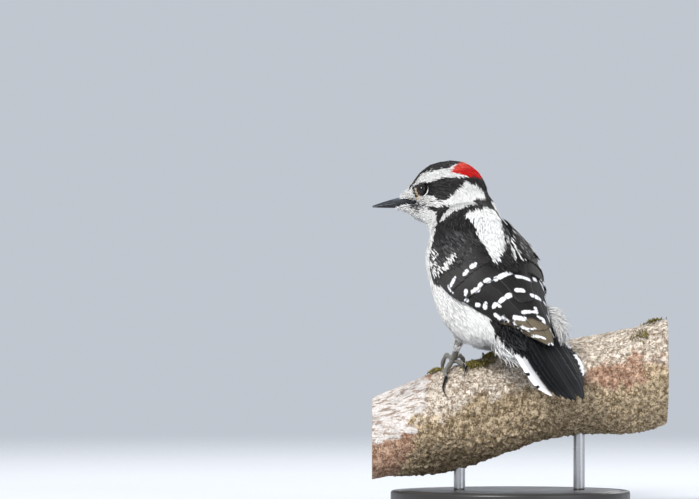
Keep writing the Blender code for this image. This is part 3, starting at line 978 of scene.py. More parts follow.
        # Ashy grey tufts on the shoulders, partly their own grey and partly painted sheen; a few paler tufts
        # at random everywhere.
        ashy = (
            ease(13.0, 2.0, along) * ease(-16.0, -6.0, along) * ease(20.0, 40.0, np.abs(degrees))
            * (on_head < 0.5)
        )
        ashy = np.clip(ashy * (0.5 + 0.7 * np.clip(soft, 0, 1)) * rng.random(count) ** 1.3 * 1.6, 0, 0.95)
        ashy += 0.30 * rng.random(count) ** 3
        # Painted sheen: paler grey tufts at random on the crown.
        crest = (on_head > 0.5) & (head[:, 2] > 7.0)
        ashy[crest] += 0.35 * rng.random(crest.sum()) ** 2
        # Painted sheen: paler grey tufts at random on the ear patch.
        ears = (on_head > 0.5) & (head[:, 2] < 5.0) & (head[:, 0] > -6.0) & (head[:, 0] < 6.0)
        ashy[ears] += 0.30 * rng.random(ears.sum()) ** 2
        black = mix(black, GREY, ashy[:, None])
        flecked = (degrees < -22.0) & (degrees > -58.0) & (along < 12.0) & (rng.random(count) < 0.17)
        black[flecked & (on_head < 0.5)] = SMOKE
        black = np.where((dark + jitter < 0)[:, None], black, colours)
        speckled = (mottle + 4.0 * jitter < 0) & (on_head > 0.5)
        black[speckled] = mix(BLACK, SMOKE, 0.55 * rng.random((speckled.sum(), 1)))
        # Painted highlight: the red turns paler rose towards the top and front of the head, more on some
        # tufts than others.
        red_highlight = ease(7.0, 12.0, head[:, 2] + 0.25 * head[:, 0] + 3.0)
        red_highlight = np.clip(0.4 * red_highlight + 0.55 * rng.random(count) ** 2 * red_highlight, 0, 1)
        crimson = mix(RED, ROSE, red_highlight[:, None])
        is_red = (red + jitter * 0.6 < 0) & (on_head > 0.5) & (head[:, 0] > -19.0)
        return np.where(is_red[:, None], crimson, black)


BILL_WIDTHS = (
    (10, 4.6), (14, 4.1), (16, 3.7), (18, 3.2), (20, 2.75), (22.5, 2.2), (26, 1.55), (30, 1), (34.8, 0.42),
)


def in_gape(head: Array) -> Array:
    """How much each point of the head belongs to the notch that the bill's base shows in.

    Args:
        head: Points on the head's own axes.

    Returns:
        A share for each point.
    """
    forward, _, up = head.T
    roof = np.interp(forward, (14.0, 16.5, 20.0, 22.0), (-2.0, -1.3, -0.3, 0.4))
    return ease(13.4, 15.2, forward) * ease(roof + 0.5, roof - 0.1, up) * ease(-5.2, -4.5, up)


NAPE = (HEAD.place(-6.0, 0.0, -12.0), unit(HEAD.directions()[2] + 0.36 * HEAD.directions()[0]))
COLLAR = (TRUNK.place(21.0, 0.0, 0.0), unit(TRUNK.directions()[0] + np.array([0.0, 0.0, 0.35])))


# ---- skin


@dataclass
class Skin:
    """One seamless skin of head, neck, trunk and shins, inside the coat by its depth."""

    voxel: float = 0.72
    relax_steps: int = 16
    nodes: tuple = ("head", "neck", "trunk", "leg_left", "leg_right")
    depth_body: float = 0.95
    depth_head: float = 0.6
    depth_leg: float = 0.3
    # Places (east, up) where the coat lies deeper or shallower: reach, extra depth and the farthest north.
    dips: tuple = (
        (-37.4, 118.2, 4, 2, 99), (-42.5, 126, 5, -1, 99), (-37, 106, 8, -0.9, 99), (-32, 86, 6, -0.8, 99),
        (-11.5, 66.5, 5, 4.8, -4), (-5, 66, 3.5, 2.5, -4),
    )

    def build(self, plumage: Plumage, material: Material) -> Object:
        """Makes the skin from merged copies of the frame's flesh and paints its markings.

        Args:
            plumage: The markings.
            material: Its finish.

        Returns:
            The skin as an object at the origin.
        """
        shape = bmesh.new()
        for node in self.nodes:
            copy = frame["nodes"][node].data.copy()
            shape.from_mesh(copy)
            bpy.data.meshes.remove(copy)
        for side in SIDES:
            self._thigh(shape, side)
        bmesh.ops.remove_doubles(shape, verts=shape.verts, dist=1e-7)
        mesh = bpy.data.meshes.new("skin_source")
        shape.to_mesh(mesh)
        shape.free()
        source = show("skin_source", mesh)
        grow = source.modifiers.new("bridge", "DISPLACE")
        grow.strength, grow.mid_level = 0.25 * MM, 0.0
        fuse = source.modifiers.new("fuse", "REMESH")
        fuse.mode, fuse.voxel_size = "VOXEL", self.voxel * MM
        relax = source.modifiers.new("relax", "SMOOTH")
        relax.factor, relax.iterations = 0.5, self.relax_steps
        mesh = evaluated(source, "skin")
        self.points, self.normals = self._arrays(mesh)
        depth = 0.25 + self._depth(self.points)
        sunk = self._notched(self.points - self.normals * depth[:, None])
        mesh.vertices.foreach_set("co", (sunk * MM).astype(np.float32).ravel())
        mesh.update()
        mesh.shade_smooth()
        self.centres = np.zeros((len(mesh.polygons), 3), np.float32)
        self.face_normals = np.zeros_like(self.centres)
        mesh.polygons.foreach_get("center", self.centres.ravel())
        mesh.polygons.foreach_get("normal", self.face_normals.ravel())
        self.centres, self.roots = self.centres / MM, sunk
        # Painted shade: the skin between the feathers takes the markings' colours at 0.7 of their brightness.
        tints = plumage.tints(sunk, np.random.default_rng(5)) * 0.7
        strand = np.column_stack([sunk[:, 0], np.ones(len(sunk)), sunk[:, 2]])
        store(mesh, tint=tints, strand=strand, seed=np.zeros(len(sunk)))
        return show("skin", mesh, material)

    def _thigh(self, shape: bmesh.types.BMesh, side: str) -> None:
        """Adds a soft thigh where the shin leaves the flank.

        Args:
            shape: The flesh that it joins.
            side: Left or right.
        """
        root, ankle = leg_line(side)
        line = np.array([mix(root, ankle, share) for share in np.linspace(0.0, 0.93, 9)])
        radii = np.interp(np.linspace(0, 1, 9), (0.0, 0.3, 0.62, 0.85, 1.0), (6.6, 6.0, 3.6, 2.2, 1.5))
        ahead = unit(np.gradient(line, axis=0))
        across = unit(np.cross(ahead, (0.0, 0.0, 1.0)))
        turns = np.linspace(0.0, 2.0 * math.pi, 16, endpoint=False)[None, :, None]
        ring = np.cos(turns) * across[:, None] - np.sin(turns) * np.cross(across, ahead)[:, None]
        points, faces = closed_tube(line[:, None] + ring * radii[:, None, None])
        verts = [shape.verts.new(point * MM) for point in points]
        for cell in faces:
            shape.faces.new([verts[index] for index in cell])

    def _arrays(self, mesh: Mesh) -> tuple[Array, Array]:
        """Points in millimetres and their normals.

        Args:
            mesh: The mesh.

        Returns:
            The points and the normals.
        """
        points = np.zeros((len(mesh.vertices), 3), np.float32)
        normals = np.zeros_like(points)
        mesh.vertices.foreach_get("co", points.ravel())
        mesh.vertex_normals.foreach_get("vector", normals.ravel())
        return points.astype(float) / MM, normals.astype(float)

    def _depth(self, points: Array) -> Array:
        """The coat's depth at each point of the body.

        Args:
            points: World points.

        Returns:
            A depth for each point.
        """
        depth = mix(self.depth_body, self.depth_head, ease(-5.0, 3.0, (points - NAPE[0]) @ NAPE[1]))
        for side in SIDES:
            gap, share = distance_to_line(points, np.array(leg_line(side)))
            depth = mix(depth, self.depth_leg, ease(0.45, 0.8, share) * ease(6.0, 3.5, gap))
        for east, up, reach, extra, north in self.dips:
            near = np.exp(-((points[:, 0] - east) ** 2 + (points[:, 2] - up) ** 2) / (2 * reach**2))
            depth = depth + extra * near * ease(north + 5.0, north - 5.0, points[:, 1])
        return depth

    def _notched(self, points: Array) -> Array:
        """Narrows the muzzle so that the bill's base shows between plumes and chin.

        Args:
            points: World points.

        Returns:
            The points, moved inwards where it is notched.
        """
        head = HEAD.local(points)
        forward, side, up = head.T
        most = (
            0.8 * between(BILL_WIDTHS, forward) * np.sqrt(np.clip(1.0 - ((up + 2.0) / 2.5) ** 2, 0.02, 1.0))
        )
        narrow = np.sign(side) * np.minimum(np.abs(side), most)
        return HEAD.place(forward, mix(side, narrow, in_gape(head)), head[:, 2])

    def side_at(self, forward: Array, up: Array, sign: float) -> Array:
        """How far out the skin lies on one side of the head.

        Args:
            forward: Places along the head.
            up: Heights on it.
            sign: 1 on the left, -1 on the right.

        Returns:
            A signed distance from the head's middle for each.
        """
        head = HEAD.local(self.roots)
        near = head[(head[:, 1] * sign > 3.0) & (head[:, 0] > 0.0)]
        gaps = (near[:, 0] - np.asarray(forward)[:, None]) ** 2 + (near[:, 2] - np.asarray(up)[:, None]) ** 2
        return near[gaps.argmin(1), 1]


# ---- soft coat


@dataclass(frozen=True)
class TuftShapes:
    """The few tuft shapes that every coat repeats, one unit long, wide and thick."""

    stations: tuple = (0.0, 0.28, 0.58, 0.84)
    widths: tuple = (0.36, 0.50, 0.46, 0.26)
    sways: tuple = ((0, 0), (0.16, 0.10), (-0.16, -0.08), (0.06, -0.16), (-0.05, 0.17))
    droop: float = 0.10

    def build(self) -> Collection:
        """Makes one closed, tapering tuft for each sway.

        Returns:
            The collection that holds them.
        """
        shapes = bpy.data.collections.new("tuft_shapes")
        bpy.context.scene.collection.children.link(shapes)
        for number, (bend, lean) in enumerate(self.sways):
            points, strand = [], []
            for along, half in zip(self.stations, self.widths):
                shift = bend * along**2 + lean * along * 0.5
                sink = -self.droop * along**2
                for across, height in ((-1.0, 0.0), (0.15, 0.5), (1.0, 0.0)):
                    points.append((shift + across * half, along, sink + height * (half + 0.3)))
                    strand.append((across, along, number))
            points += [(bend + lean * 0.5, 1.0, -self.droop), (0.0, -0.04, 0.05)]
            strand += [(0.0, 1.0, number), (0.0, 0.0, number)]
            mesh = bpy.data.meshes.new(f"tuft_{number}")
            rows = len(self.stations)
            faces = []
            for row in range(rows - 1):
                for step in range(3):
                    onward = (step + 1) % 3
                    faces.append((row * 3 + step, row * 3 + 3 + step, row * 3 + 3 + onward, row * 3 + onward))
            for step in range(3):
                onward, last = (step + 1) % 3, (rows - 1) * 3
                faces.append((last + step, rows * 3, last + onward))
                faces.append((onward, rows * 3 + 1, step))
            mesh.from_pydata(points, [], faces)
            mesh.update()
            mesh.shade_smooth()
            store(mesh, strand=np.array(strand))
            obj = bpy.data.objects.new(mesh.name, mesh)
            shapes.objects.link(obj)
            obj.hide_render = True
        return shapes


def tuft_tree() -> NodeTree:
    """The node tree that lays a tuft at each root and packs its bake patch.

    Returns:
        The tree.
    """
    group, build, given, out = new_group(
        "lay_tufts", "GeometryNodeTree",
        {
            "Roots": ("NodeSocketGeometry", None),
            "Shapes": ("NodeSocketCollection", None),
            "Patch": ("NodeSocketFloat", 0.003),
            "Finish": ("NodeSocketMaterial", None),
        },
        {"Coat": "NodeSocketGeometry"},
    )

    def named(kind: str, name: str) -> NodeSocket:
        """Output of a Named Attribute node."""
        return build.add("GeometryNodeInputNamedAttribute", {"data_type": kind}, Name=name).outputs[0]

    shapes = build.add(
        "GeometryNodeCollectionInfo", {"transform_space": "ORIGINAL"},
        Collection=given.outputs["Shapes"], Separate_Children=True,
    )
    turn = build.add("FunctionNodeEulerToRotation", Euler=named("FLOAT_VECTOR", "turn"))
    laid = build.add(
        "GeometryNodeInstanceOnPoints", Points=given.outputs["Roots"], Instance=shapes.outputs[0],
        Pick_Instance=True, Instance_Index=named("INT", "shape"), Rotation=turn.outputs[0],
        Scale=named("FLOAT_VECTOR", "size"),
    )
    solid = build.add("GeometryNodeRealizeInstances", Geometry=laid.outputs[0])
    local = build.add(
        "ShaderNodeVectorMath", {"operation": "MULTIPLY_ADD"},
        in_0=named("FLOAT_VECTOR", "strand"), in_1=(0.5, 1.0, 0.0), in_2=(0.5, 0.0, 0.0),
    )
    patch = build.shaded(local.outputs[0], given.outputs["Patch"])
    spot = build.add(
        "ShaderNodeVectorMath", {"operation": "ADD"}, in_0=named("FLOAT_VECTOR", "home"), in_1=patch
    )
    stored = build.add(
        "GeometryNodeStoreNamedAttribute", {"data_type": "FLOAT2", "domain": "CORNER"},
        Geometry=solid.outputs[0], Name="OFBake", Value=spot.outputs[0],
    )
    shape = stored.outputs[0]
    for name in ("turn", "size", "shape", "home"):
        shape = build.add("GeometryNodeRemoveAttribute", Geometry=shape, Name=name).outputs[0]
    finished = build.add("GeometryNodeSetMaterial", Geometry=shape, Material=given.outputs["Finish"])
    build.feed(out, Coat=finished.outputs[0])
    return group


def euler_of(across: Array, along: Array, up: Array) -> Array:
    """XYZ Euler angles of frames given by their three unit directions.

    Args:
        across: First directions.
        along: Second directions.
        up: Third directions.

    Returns:
        A row of angles for each frame.
    """
    return np.column_stack([
        np.arctan2(along[:, 2], up[:, 2]),
        -np.arcsin(np.clip(across[:, 2], -1.0, 1.0)),
        np.arctan2(across[:, 1], across[:, 0]),
    ])


@dataclass
class Roots:
    """Where tufts are rooted, and how each lies and looks."""

    points: Array
    normals: Array
    flow: Array
    length: Array
    width: Array
    lift: Array
    tint: Array

    def chosen(self, keep: Array) -> "Roots":
        """The roots that a mask or a list of numbers keeps."""
        return Roots(*(getattr(self, field.name)[keep] for field in fields(self)))


class Coat:
    """Lays tufts on roots and turns them into plain meshes, one for each region."""

    most = 8200
    patch = 0.003
    thick = 0.30

    def __init__(self, shapes: Collection, tree: NodeTree, material: Material) -> None:
        """Holds what every coat piece shares."""
        self.shapes, self.tree, self.material = shapes, tree, material
        self.rng = np.random.default_rng(41)

    def lay(self, name: str, roots: Roots, axes: Axes, slot: str) -> list[Object]:
        """Makes the coat pieces of a region.

        Args:
            name: The region's name.
            roots: Its tufts.
            axes: The axes that its bake map is unrolled about.
            slot: The record's finish slot.

        Returns:
            The finished pieces.
        """
        along, side, up = axes.local(roots.points).T
        middle = math.atan2(side.mean(), up.mean())
        turned = (np.arctan2(side, up) - middle + math.pi) % (2 * math.pi)
        station = along + 0.35 * np.hypot(side, up) * np.sign(along)
        made = []
        pieces = max(1, math.ceil(len(along) / self.most))
        bands = np.array_split(np.argsort(turned, kind="stable"), pieces)
        for number, band in enumerate(bands):
            home = np.column_stack(
                [self._spread(turned[band]), self._spread(station[band]), np.zeros(len(band))]
            )
            title = name if pieces == 1 else f"{name}_{number + 1}"
            made.append(place_piece(self._piece(title, roots.chosen(band), home), slot))
        return made

    def _spread(self, values: Array) -> Array:
        """Values spread over the bake square."""
        return 0.01 + 0.975 * (values - values.min()) / max(float(np.ptp(values)), 1e-9)

    def _piece(self, name: str, roots: Roots, home: Array) -> Object:
        """One coat piece as a plain mesh.

        Args:
            name: Its name.
            roots: Its tufts.
            home: Their places on the bake square.

        Returns:
            The piece as an object at the origin.
        """
        count = len(roots.points)
        tilt = np.radians(roots.lift)[:, None]
        along = unit(roots.flow * np.cos(tilt) + roots.normals * np.sin(tilt))
        across = unit(np.cross(along, roots.normals))
        turn = euler_of(across, along, np.cross(across, along))
        size = np.column_stack([roots.width, roots.length, self.thick * roots.width]) * MM
        mesh = new_mesh(f"{name}_roots", roots.points, [])
        shape = self.rng.integers(0, len(self.shapes.objects), count)
        store(
            mesh, turn=turn, size=size, shape=shape, tint=roots.tint, home=home, seed=self.rng.random(count)
        )
        obj = show(f"{name}_roots", mesh)
        modifier = obj.modifiers.new("lay", "NODES")
        modifier.node_group = self.tree
        inputs = {
            item.name: item.identifier for item in self.tree.interface.items_tree if item.in_out == "INPUT"
        }
        modifier[inputs["Shapes"]] = self.shapes
        modifier[inputs["Patch"]] = self.patch
        modifier[inputs["Finish"]] = self.material
        return show(name, evaluated(obj, name))


@dataclass(frozen=True)
class Pile:
    """Size of one region's tufts in millimetres, and how steeply they stand in degrees."""

    length: float
    width: float
    lift: float


class BodyCoat:
    """Plans and lays the contour feathers of head, neck, trunk and shins."""

    crown = Pile(2.5, 0.46, 7.0)
    face = Pile(1.7, 0.36, 7.0)
    lores = Pile(1.1, 0.28, 7.0)
    cheek = Pile(2.7, 0.46, 6.5)
    neck = Pile(3.4, 0.54, 6.5)
    back = Pile(6.0, 0.72, 7.0)
    belly = Pile(5.6, 0.68, 6.0)
    shin = Pile(2.5, 0.5, 7.0)
    standing = 0.32
    eye_opening = (2.3, 2.15)

    def __init__(self, skin: Skin, plumage: Plumage, coat: Coat) -> None:
        """Holds the skin that the coat grows from."""
        self.skin, self.plumage, self.coat = skin, plumage, coat
        self.rng = np.random.default_rng(17)

    def build(self) -> None:
        """Lays every region of the body's coat."""
        points = np.vstack([self.skin.roots, self.skin.centres, self.skin.centres])
        normals = unit(np.vstack([self.skin.normals, self.skin.face_normals, self.skin.face_normals]))
        number = np.arange(len(points))
        head = HEAD.local(points)
        above = (points - NAPE[0]) @ NAPE[1]
        first, second = len(self.skin.roots), len(self.skin.roots) + len(self.skin.centres)
        keep = (number < first) | ((above > -2.0) & (number < second)) | ((above > -2.0) & (head[:, 0] > 3.0))
        points, normals, head, above = points[keep], normals[keep], head[keep], above[keep]
        points = points + self.rng.normal(0.0, 0.16, points.shape)
        flow = Lie().at(points, normals)
        roots, leg = self._grown(points, normals, flow, head, above)
        along, degrees, over = hull_coordinates(roots.points)
        hidden = (
            self._under_wings(along, degrees, over) | self._at_eyes(roots.points)
            | self._in_bill(roots.points)
        )
        roots, leg = roots.chosen(~hidden), leg[~hidden]
        head, above = HEAD.local(roots.points), (roots.points - NAPE[0]) @ NAPE[1]
        below_collar = (roots.points - COLLAR[0]) @ COLLAR[1] < 0
        degrees = hull_coordinates(roots.points)[1]
        on_head, on_leg = above > 0, leg > 0.5
        neck = ~on_head & ~below_collar & ~on_leg
        trunk = ~on_head & below_collar & ~on_leg
        back = trunk & (np.abs(degrees) < 75.0)
        regions = (
            ("coat_crown", on_head & (head[:, 2] > 2.0), HEAD, "feathers_head"),
            ("coat_face", on_head & (head[:, 2] <= 2.0) & (head[:, 1] > 0.0), HEAD, "feathers_head"),
            ("coat_far_cheek", on_head & (head[:, 2] <= 2.0) & (head[:, 1] <= 0.0), HEAD, "feathers_head"),
            ("coat_neck", neck, TRUNK, "feathers_neck"),
            ("coat_back", back, TRUNK, "feathers_body"),
            ("coat_belly", trunk & ~back, TRUNK, "feathers_body"),
            ("coat_shin_left", on_leg & (leg > 1.5), TRUNK, "feathers_body"),
            ("coat_shin_right", on_leg & (leg <= 1.5), TRUNK, "feathers_body"),
        )
        for name, mask, axes, slot in regions:
            self.coat.lay(name, roots.chosen(mask), axes, slot)

    def _grown(
        self, points: Array, normals: Array, flow: Array, head: Array, above: Array
    ) -> tuple[Roots, Array]:
        """Gives each root its tuft's size, lift and tint.

        Args:
            points: World points.
            normals: The surface's directions at them.
            flow: How the coat lies at them.
            head: The same points on the head's own axes.
            above: Their heights over the nape.

        Returns:
            The roots, and the leg that each is on: 1 right, 2 left, 0 neither.
        """
        count = len(points)
        face = ease(2.0, 11.0, head[:, 0]) * ease(-4.0, 2.0, above)
        cheek = ease(-3.0, 3.0, above)
        crown = cheek * ease(1.0, 6.0, head[:, 2])
        lores = cheek * ease(5.2, 3.4, np.hypot(head[:, 0] - 12.2, head[:, 2] - 1.2))
        along, degrees, _ = hull_coordinates(points)
        dorsal = ease(60.0, 35.0, np.abs(degrees)) * ease(24.0, 16.0, along)
        leg = np.zeros(count)
        sizes = []
        for field in ("length", "width", "lift"):
            value = mix(getattr(self.neck, field), getattr(self.belly, field), ease(26.0, 12.0, along))
            value = mix(value, getattr(self.back, field), dorsal)
            value = mix(value, getattr(self.cheek, field), cheek)
            value = mix(value, getattr(self.crown, field), crown)
            value = mix(value, getattr(self.face, field), face)
            sizes.append(mix(value, getattr(self.lores, field), lores))
        for number, side in enumerate(("right", "left")):
            gap, share = distance_to_line(points, np.array(leg_line(side)))
            near = ease(0.42, 0.62, share) * ease(6.5, 4.5, gap) * (along < 0)
            for index, field in enumerate(("length", "width", "lift")):
                sizes[index] = mix(sizes[index], getattr(self.shin, field), near)
            leg = np.where(near > 0.5, number + 1.0, leg)
        length, width, lift = sizes
        length = length * self.rng.uniform(0.82, 1.18, count)
        width = width * self.rng.uniform(0.82, 1.2, count)
        lift = lift + self.rng.normal(0.0, 2.2, count)
        flow = unit(flow + np.cross(normals, flow) * self.rng.normal(0.0, 0.13, (count, 1)))
        lift = np.maximum(lift + self._clear(points + flow * (0.85 * length)[:, None], length, lift), 1.5)
        shown = points + flow * (length * 0.6)[:, None]
        tint = self.plumage.tints(shown, self.rng)
        return Roots(points, normals, flow, length, width, lift, tint), leg

    def _clear(self, tips: Array, length: Array, lift: Array) -> Array:
        """Degrees that bring each tuft's tip just clear of the skin below it.

        Args:
            tips: The tufts' tips.
            length: The tufts' lengths.
            lift: Their lifts in degrees.

        Returns:
            Degrees to add to each lift.
        """
        tree = KDTree(len(self.skin.roots))
        for index, spot in enumerate(self.skin.roots.tolist()):
            tree.insert(spot, index)
        tree.balance()
        below = np.array([tree.find(tip)[1] for tip in tips.tolist()])
        height = ((tips - self.skin.roots[below]) * self.skin.normals[below]).sum(1)
        short = self.standing - height - 0.85 * length * np.sin(np.radians(lift))
        return np.degrees(np.arcsin(np.clip(short / length, -0.12, 0.5)))

    def _under_wings(self, along: Array, degrees: Array, over: Array) -> Array:
        """Which roots the folded wings cover.

        Args:
            along: Places along the trunk.
            degrees: Angles from the ridge of the back, + on the left.
            over: Heights over the hull.

        Returns:
            A mask of the roots.
        """
        upper, lower = between(WING_EDGES, along, 1), between(WING_EDGES, along, 2)
        tucked = (np.abs(degrees) > upper + 4.0) & (np.abs(degrees) < lower - 9.0)
        return tucked & (along > -57.0) & (along < 15.0) & (over < 0.5)

    def _at_eyes(self, points: Array) -> Array:
        """Which roots lie in the eyes' openings.

        Args:
            points: World points.

        Returns:
            A mask of the roots.
        """
        forward, side, up = HEAD.local(points).T
        wide, high = self.eye_opening
        return (np.hypot((forward - EYE[0]) / wide, (up - EYE[2]) / high) < 1.0) & (np.abs(side) > 4.0)

    def _in_bill(self, points: Array) -> Array:
        """Which roots lie where the bill comes out."""
        head = HEAD.local(points)
        return (in_gape(head) > 0.35) | (head[:, 0] > 21.0)


class FaceTrim:
    """The bristly plumes over the nostrils, the lids' rims and the pale ring behind each eye."""

    # Along the head: half width, farthest height and the height of the border that lies on the bill.
    plumes = (
        (13, 6.4, 8.2, -2.4), (16.5, 4.6, 4.6, -1.5), (19, 3.4, 2.6, -0.8), (21, 2.6, 1.1, -0.2),
        (24, 1.6, -0.6, -0.9),
    )
    beard = (
        (12, 5.6, -13, -3.4), (14.5, 4.9, -11.2, -2.9), (17, 4, -9.2, -2.7), (19, 3.3, -7.3, -2.9),
        (22, 2.5, -5.1, -3.3), (25, 1.6, -4, -3.7),
    )

    def __init__(self, coat: Coat, skin: Skin) -> None:
        """Holds the tuft maker and the skin."""
        self.coat, self.skin = coat, skin
        self.rng = np.random.default_rng(23)

    def build(self, lid: Material) -> None:
        """Lays the plumes and the chin's fringe, and makes the lids.

        Args:
            lid: The lids' finish.
        """
        self._fringe("coat_nostril_plumes", self.plumes, 1300, (13.6, 20.2), self._plume_tints)
        self._fringe("coat_chin", self.beard, 1100, (13.0, 22.6), self._beard_tints)
        for side, sign in SIDES.items():
            self._lid(side, sign, lid)
            self._crescent(side, sign)

    def _on(self, outline: tuple, place: Array, turn: Array) -> Array:
        """Points on an outline at places along the head and turns from its farthest height."""
        half, end, heart = (between(outline, place, column) for column in (1, 2, 3))
        return HEAD.place(place, np.sin(turn) * half, heart + np.cos(turn) * (end - heart))

    def _fringe(
        self, name: str, outline: tuple, count: int, reach: tuple, tints: Callable[[Array, Array], Array]
    ) -> None:
        """Bristly tufts that run forward over the bill's base.

        Args:
            name: The piece's name.
            outline: The surface that they lie on.
            count: How many.
            reach: First and last place along the head of their roots.
            tints: Gives their colours from their places and heights on the head.
        """
        turn = np.radians(self.rng.uniform(-84.0, 84.0, count))
        place = self.rng.uniform(*reach, count)
        points = self._on(outline, place, turn) + self.rng.normal(0.0, 0.12, (count, 3))
        flow = unit(self._on(outline, place + 0.5, turn) - points + self.rng.normal(0.0, 0.06, (count, 3)))
        aside = self._on(outline, place, turn + 0.1) - self._on(outline, place, turn)
        outward = unit(np.cross(aside, flow))
        heart = HEAD.place(place, 0.0, between(outline, place, 3))
        outward = outward * np.sign((outward * (points - heart)).sum(1, keepdims=True))
        length = self.rng.uniform(1.6, 2.8, count)
        lift = self.rng.normal(4.0, 2.5, count)
        tint = tints(place, HEAD.local(points)[:, 2])
        roots = Roots(points, outward, flow, length, np.full(count, 0.36), lift, tint)
        self.coat.lay(name, roots, HEAD, "feathers_head")

    def _plume_tints(self, place: Array, height: Array) -> Array:
        """White at the front and tan at the roots."""
        tan = np.clip(ease(17.0, 15.2, place) + self.rng.normal(0.0, 0.15, len(place)), 0, 1)[:, None]
        return mix(np.array(SNOW) * self.rng.uniform(0.8, 1.0, (len(place), 1)), CREAM, tan)

    def _beard_tints(self, place: Array, height: Array) -> Array:
        """Greyish white, speckled black at the corner of the mouth.

        Args:
            place: Places along the head.
            height: Heights on it.

        Returns:
            A colour for each.
        """
        count = len(place)
        pale = mix(WHITE, SMOKE, self.rng.random((count, 1)) ** 1.6)
        dark = mix(BLACK, SMOKE, 0.8 * self.rng.random((count, 1)))
        gape = ease(1.2, 0.6, np.hypot((place - 13.8) / 3.0, (height + 4.6) / 2.0)) > self.rng.random(count)
        return np.where(gape[:, None], dark, pale)

    def _lid(self, side: str, sign: float, material: Material) -> None:
        """A soft dark rim round the eye's opening.

        Args:
            side: Left or right.
            sign: 1 on the left, -1 on the right.
            material: Its finish.
        """
        forward, left, above = HEAD.directions()
        centre = HEAD.place(EYE[0], sign * EYE[1], EYE[2])
        turns = np.linspace(0.0, 2 * math.pi, 49)[:-1]
        rings = []
        for reach, high in (
            (2.26, 0.0), (2.38, 0.10), (2.24, 0.30), (2.06, 0.32), (1.97, 0.14), (2.06, -0.1)
        ):
            along, up = np.cos(turns) * reach * 1.03, np.sin(turns) * reach * 0.95
            out = np.sqrt(np.maximum(EYE_RADIUS**2 - along**2 - up**2, 0.2)) + high * 0.55
            rings.append(centre + np.outer(along, forward) + np.outer(up, above) + sign * np.outer(out, left))
        rings = np.stack(rings, axis=1)
        count, sides = rings.shape[:2]
        index = np.arange(count * sides).reshape(count, sides)
        right, ahead = np.roll(index, -1, axis=1), np.roll(index, -1, axis=0)
        faces = np.stack([index, right, np.roll(right, -1, axis=0), ahead], -1).reshape(-1, 4).tolist()
        mesh = turned_out(new_mesh(f"lid_{side}", rings.reshape(-1, 3), faces))
        store(mesh, worn=np.zeros(len(mesh.vertices)))
        soften = show(f"lid_{side}", mesh, material)
        subdivide = soften.modifiers.new("soften", "SUBSURF")
        subdivide.levels = subdivide.render_levels = 1
        place_piece(soften, "eye_gloss")

    def _crescent(self, side: str, sign: float) -> None:
        """Tiny white feathers in a crescent behind and below the eye.

        Args:
            side: Left or right.
            sign: 1 on the left, -1 on the right.
        """
        forward, left, above = HEAD.directions()
        count = 190
        share = self.rng.random(count)
        turn = np.radians(mix(150.0, 256.0, share))
        half = 0.30 * np.sin(np.pi * np.clip(0.08 + 0.84 * share, 0, 1)) ** 0.7
        reach = 2.95 - 0.25 * np.sin(np.pi * share) + self.rng.uniform(-1.0, 1.0, count) * half
        along, up = EYE[0] + np.cos(turn) * reach, EYE[2] + np.sin(turn) * reach
        out = sign * (np.abs(self.skin.side_at(along, up, sign)) + 0.62)
        points = HEAD.place(along, out, up)
        normal = np.tile(sign * left, (count, 1))
        around = np.outer(-np.sin(turn), forward) + np.outer(np.cos(turn), above)
        flow = tangent(around, normal)
        tint = np.array(SNOW) * self.rng.uniform(0.9, 1.05, (count, 1))
        roots = Roots(
            points, normal, flow, np.full(count, 0.8), np.full(count, 0.2), np.full(count, 2.0), tint
        )
        self.coat.lay(f"coat_eye_ring_{side}", roots, HEAD, "feathers_head")


# ---- flight feathers


class Tip(Enum):
    """How a vane's end is cut: its width near the end, as shares of the vane's width."""

    ROUND = (1.0, 0.96, 0.80, 0.50)
    LANCE = (0.94, 0.76, 0.46, 0.18)


@dataclass(frozen=True)
class Vane:
    """One flight feather, whose path is given by knots on the surface that it lies on.

    Its bars are (place, half length), dark on a white feather and white on a dark one.
    """

    path: tuple
    half: float
    depth: float
    rise: float = 0.0
    tip: Tip = Tip.ROUND
    bars: tuple = ()
    white: bool = False
    crescent: float = 0.0


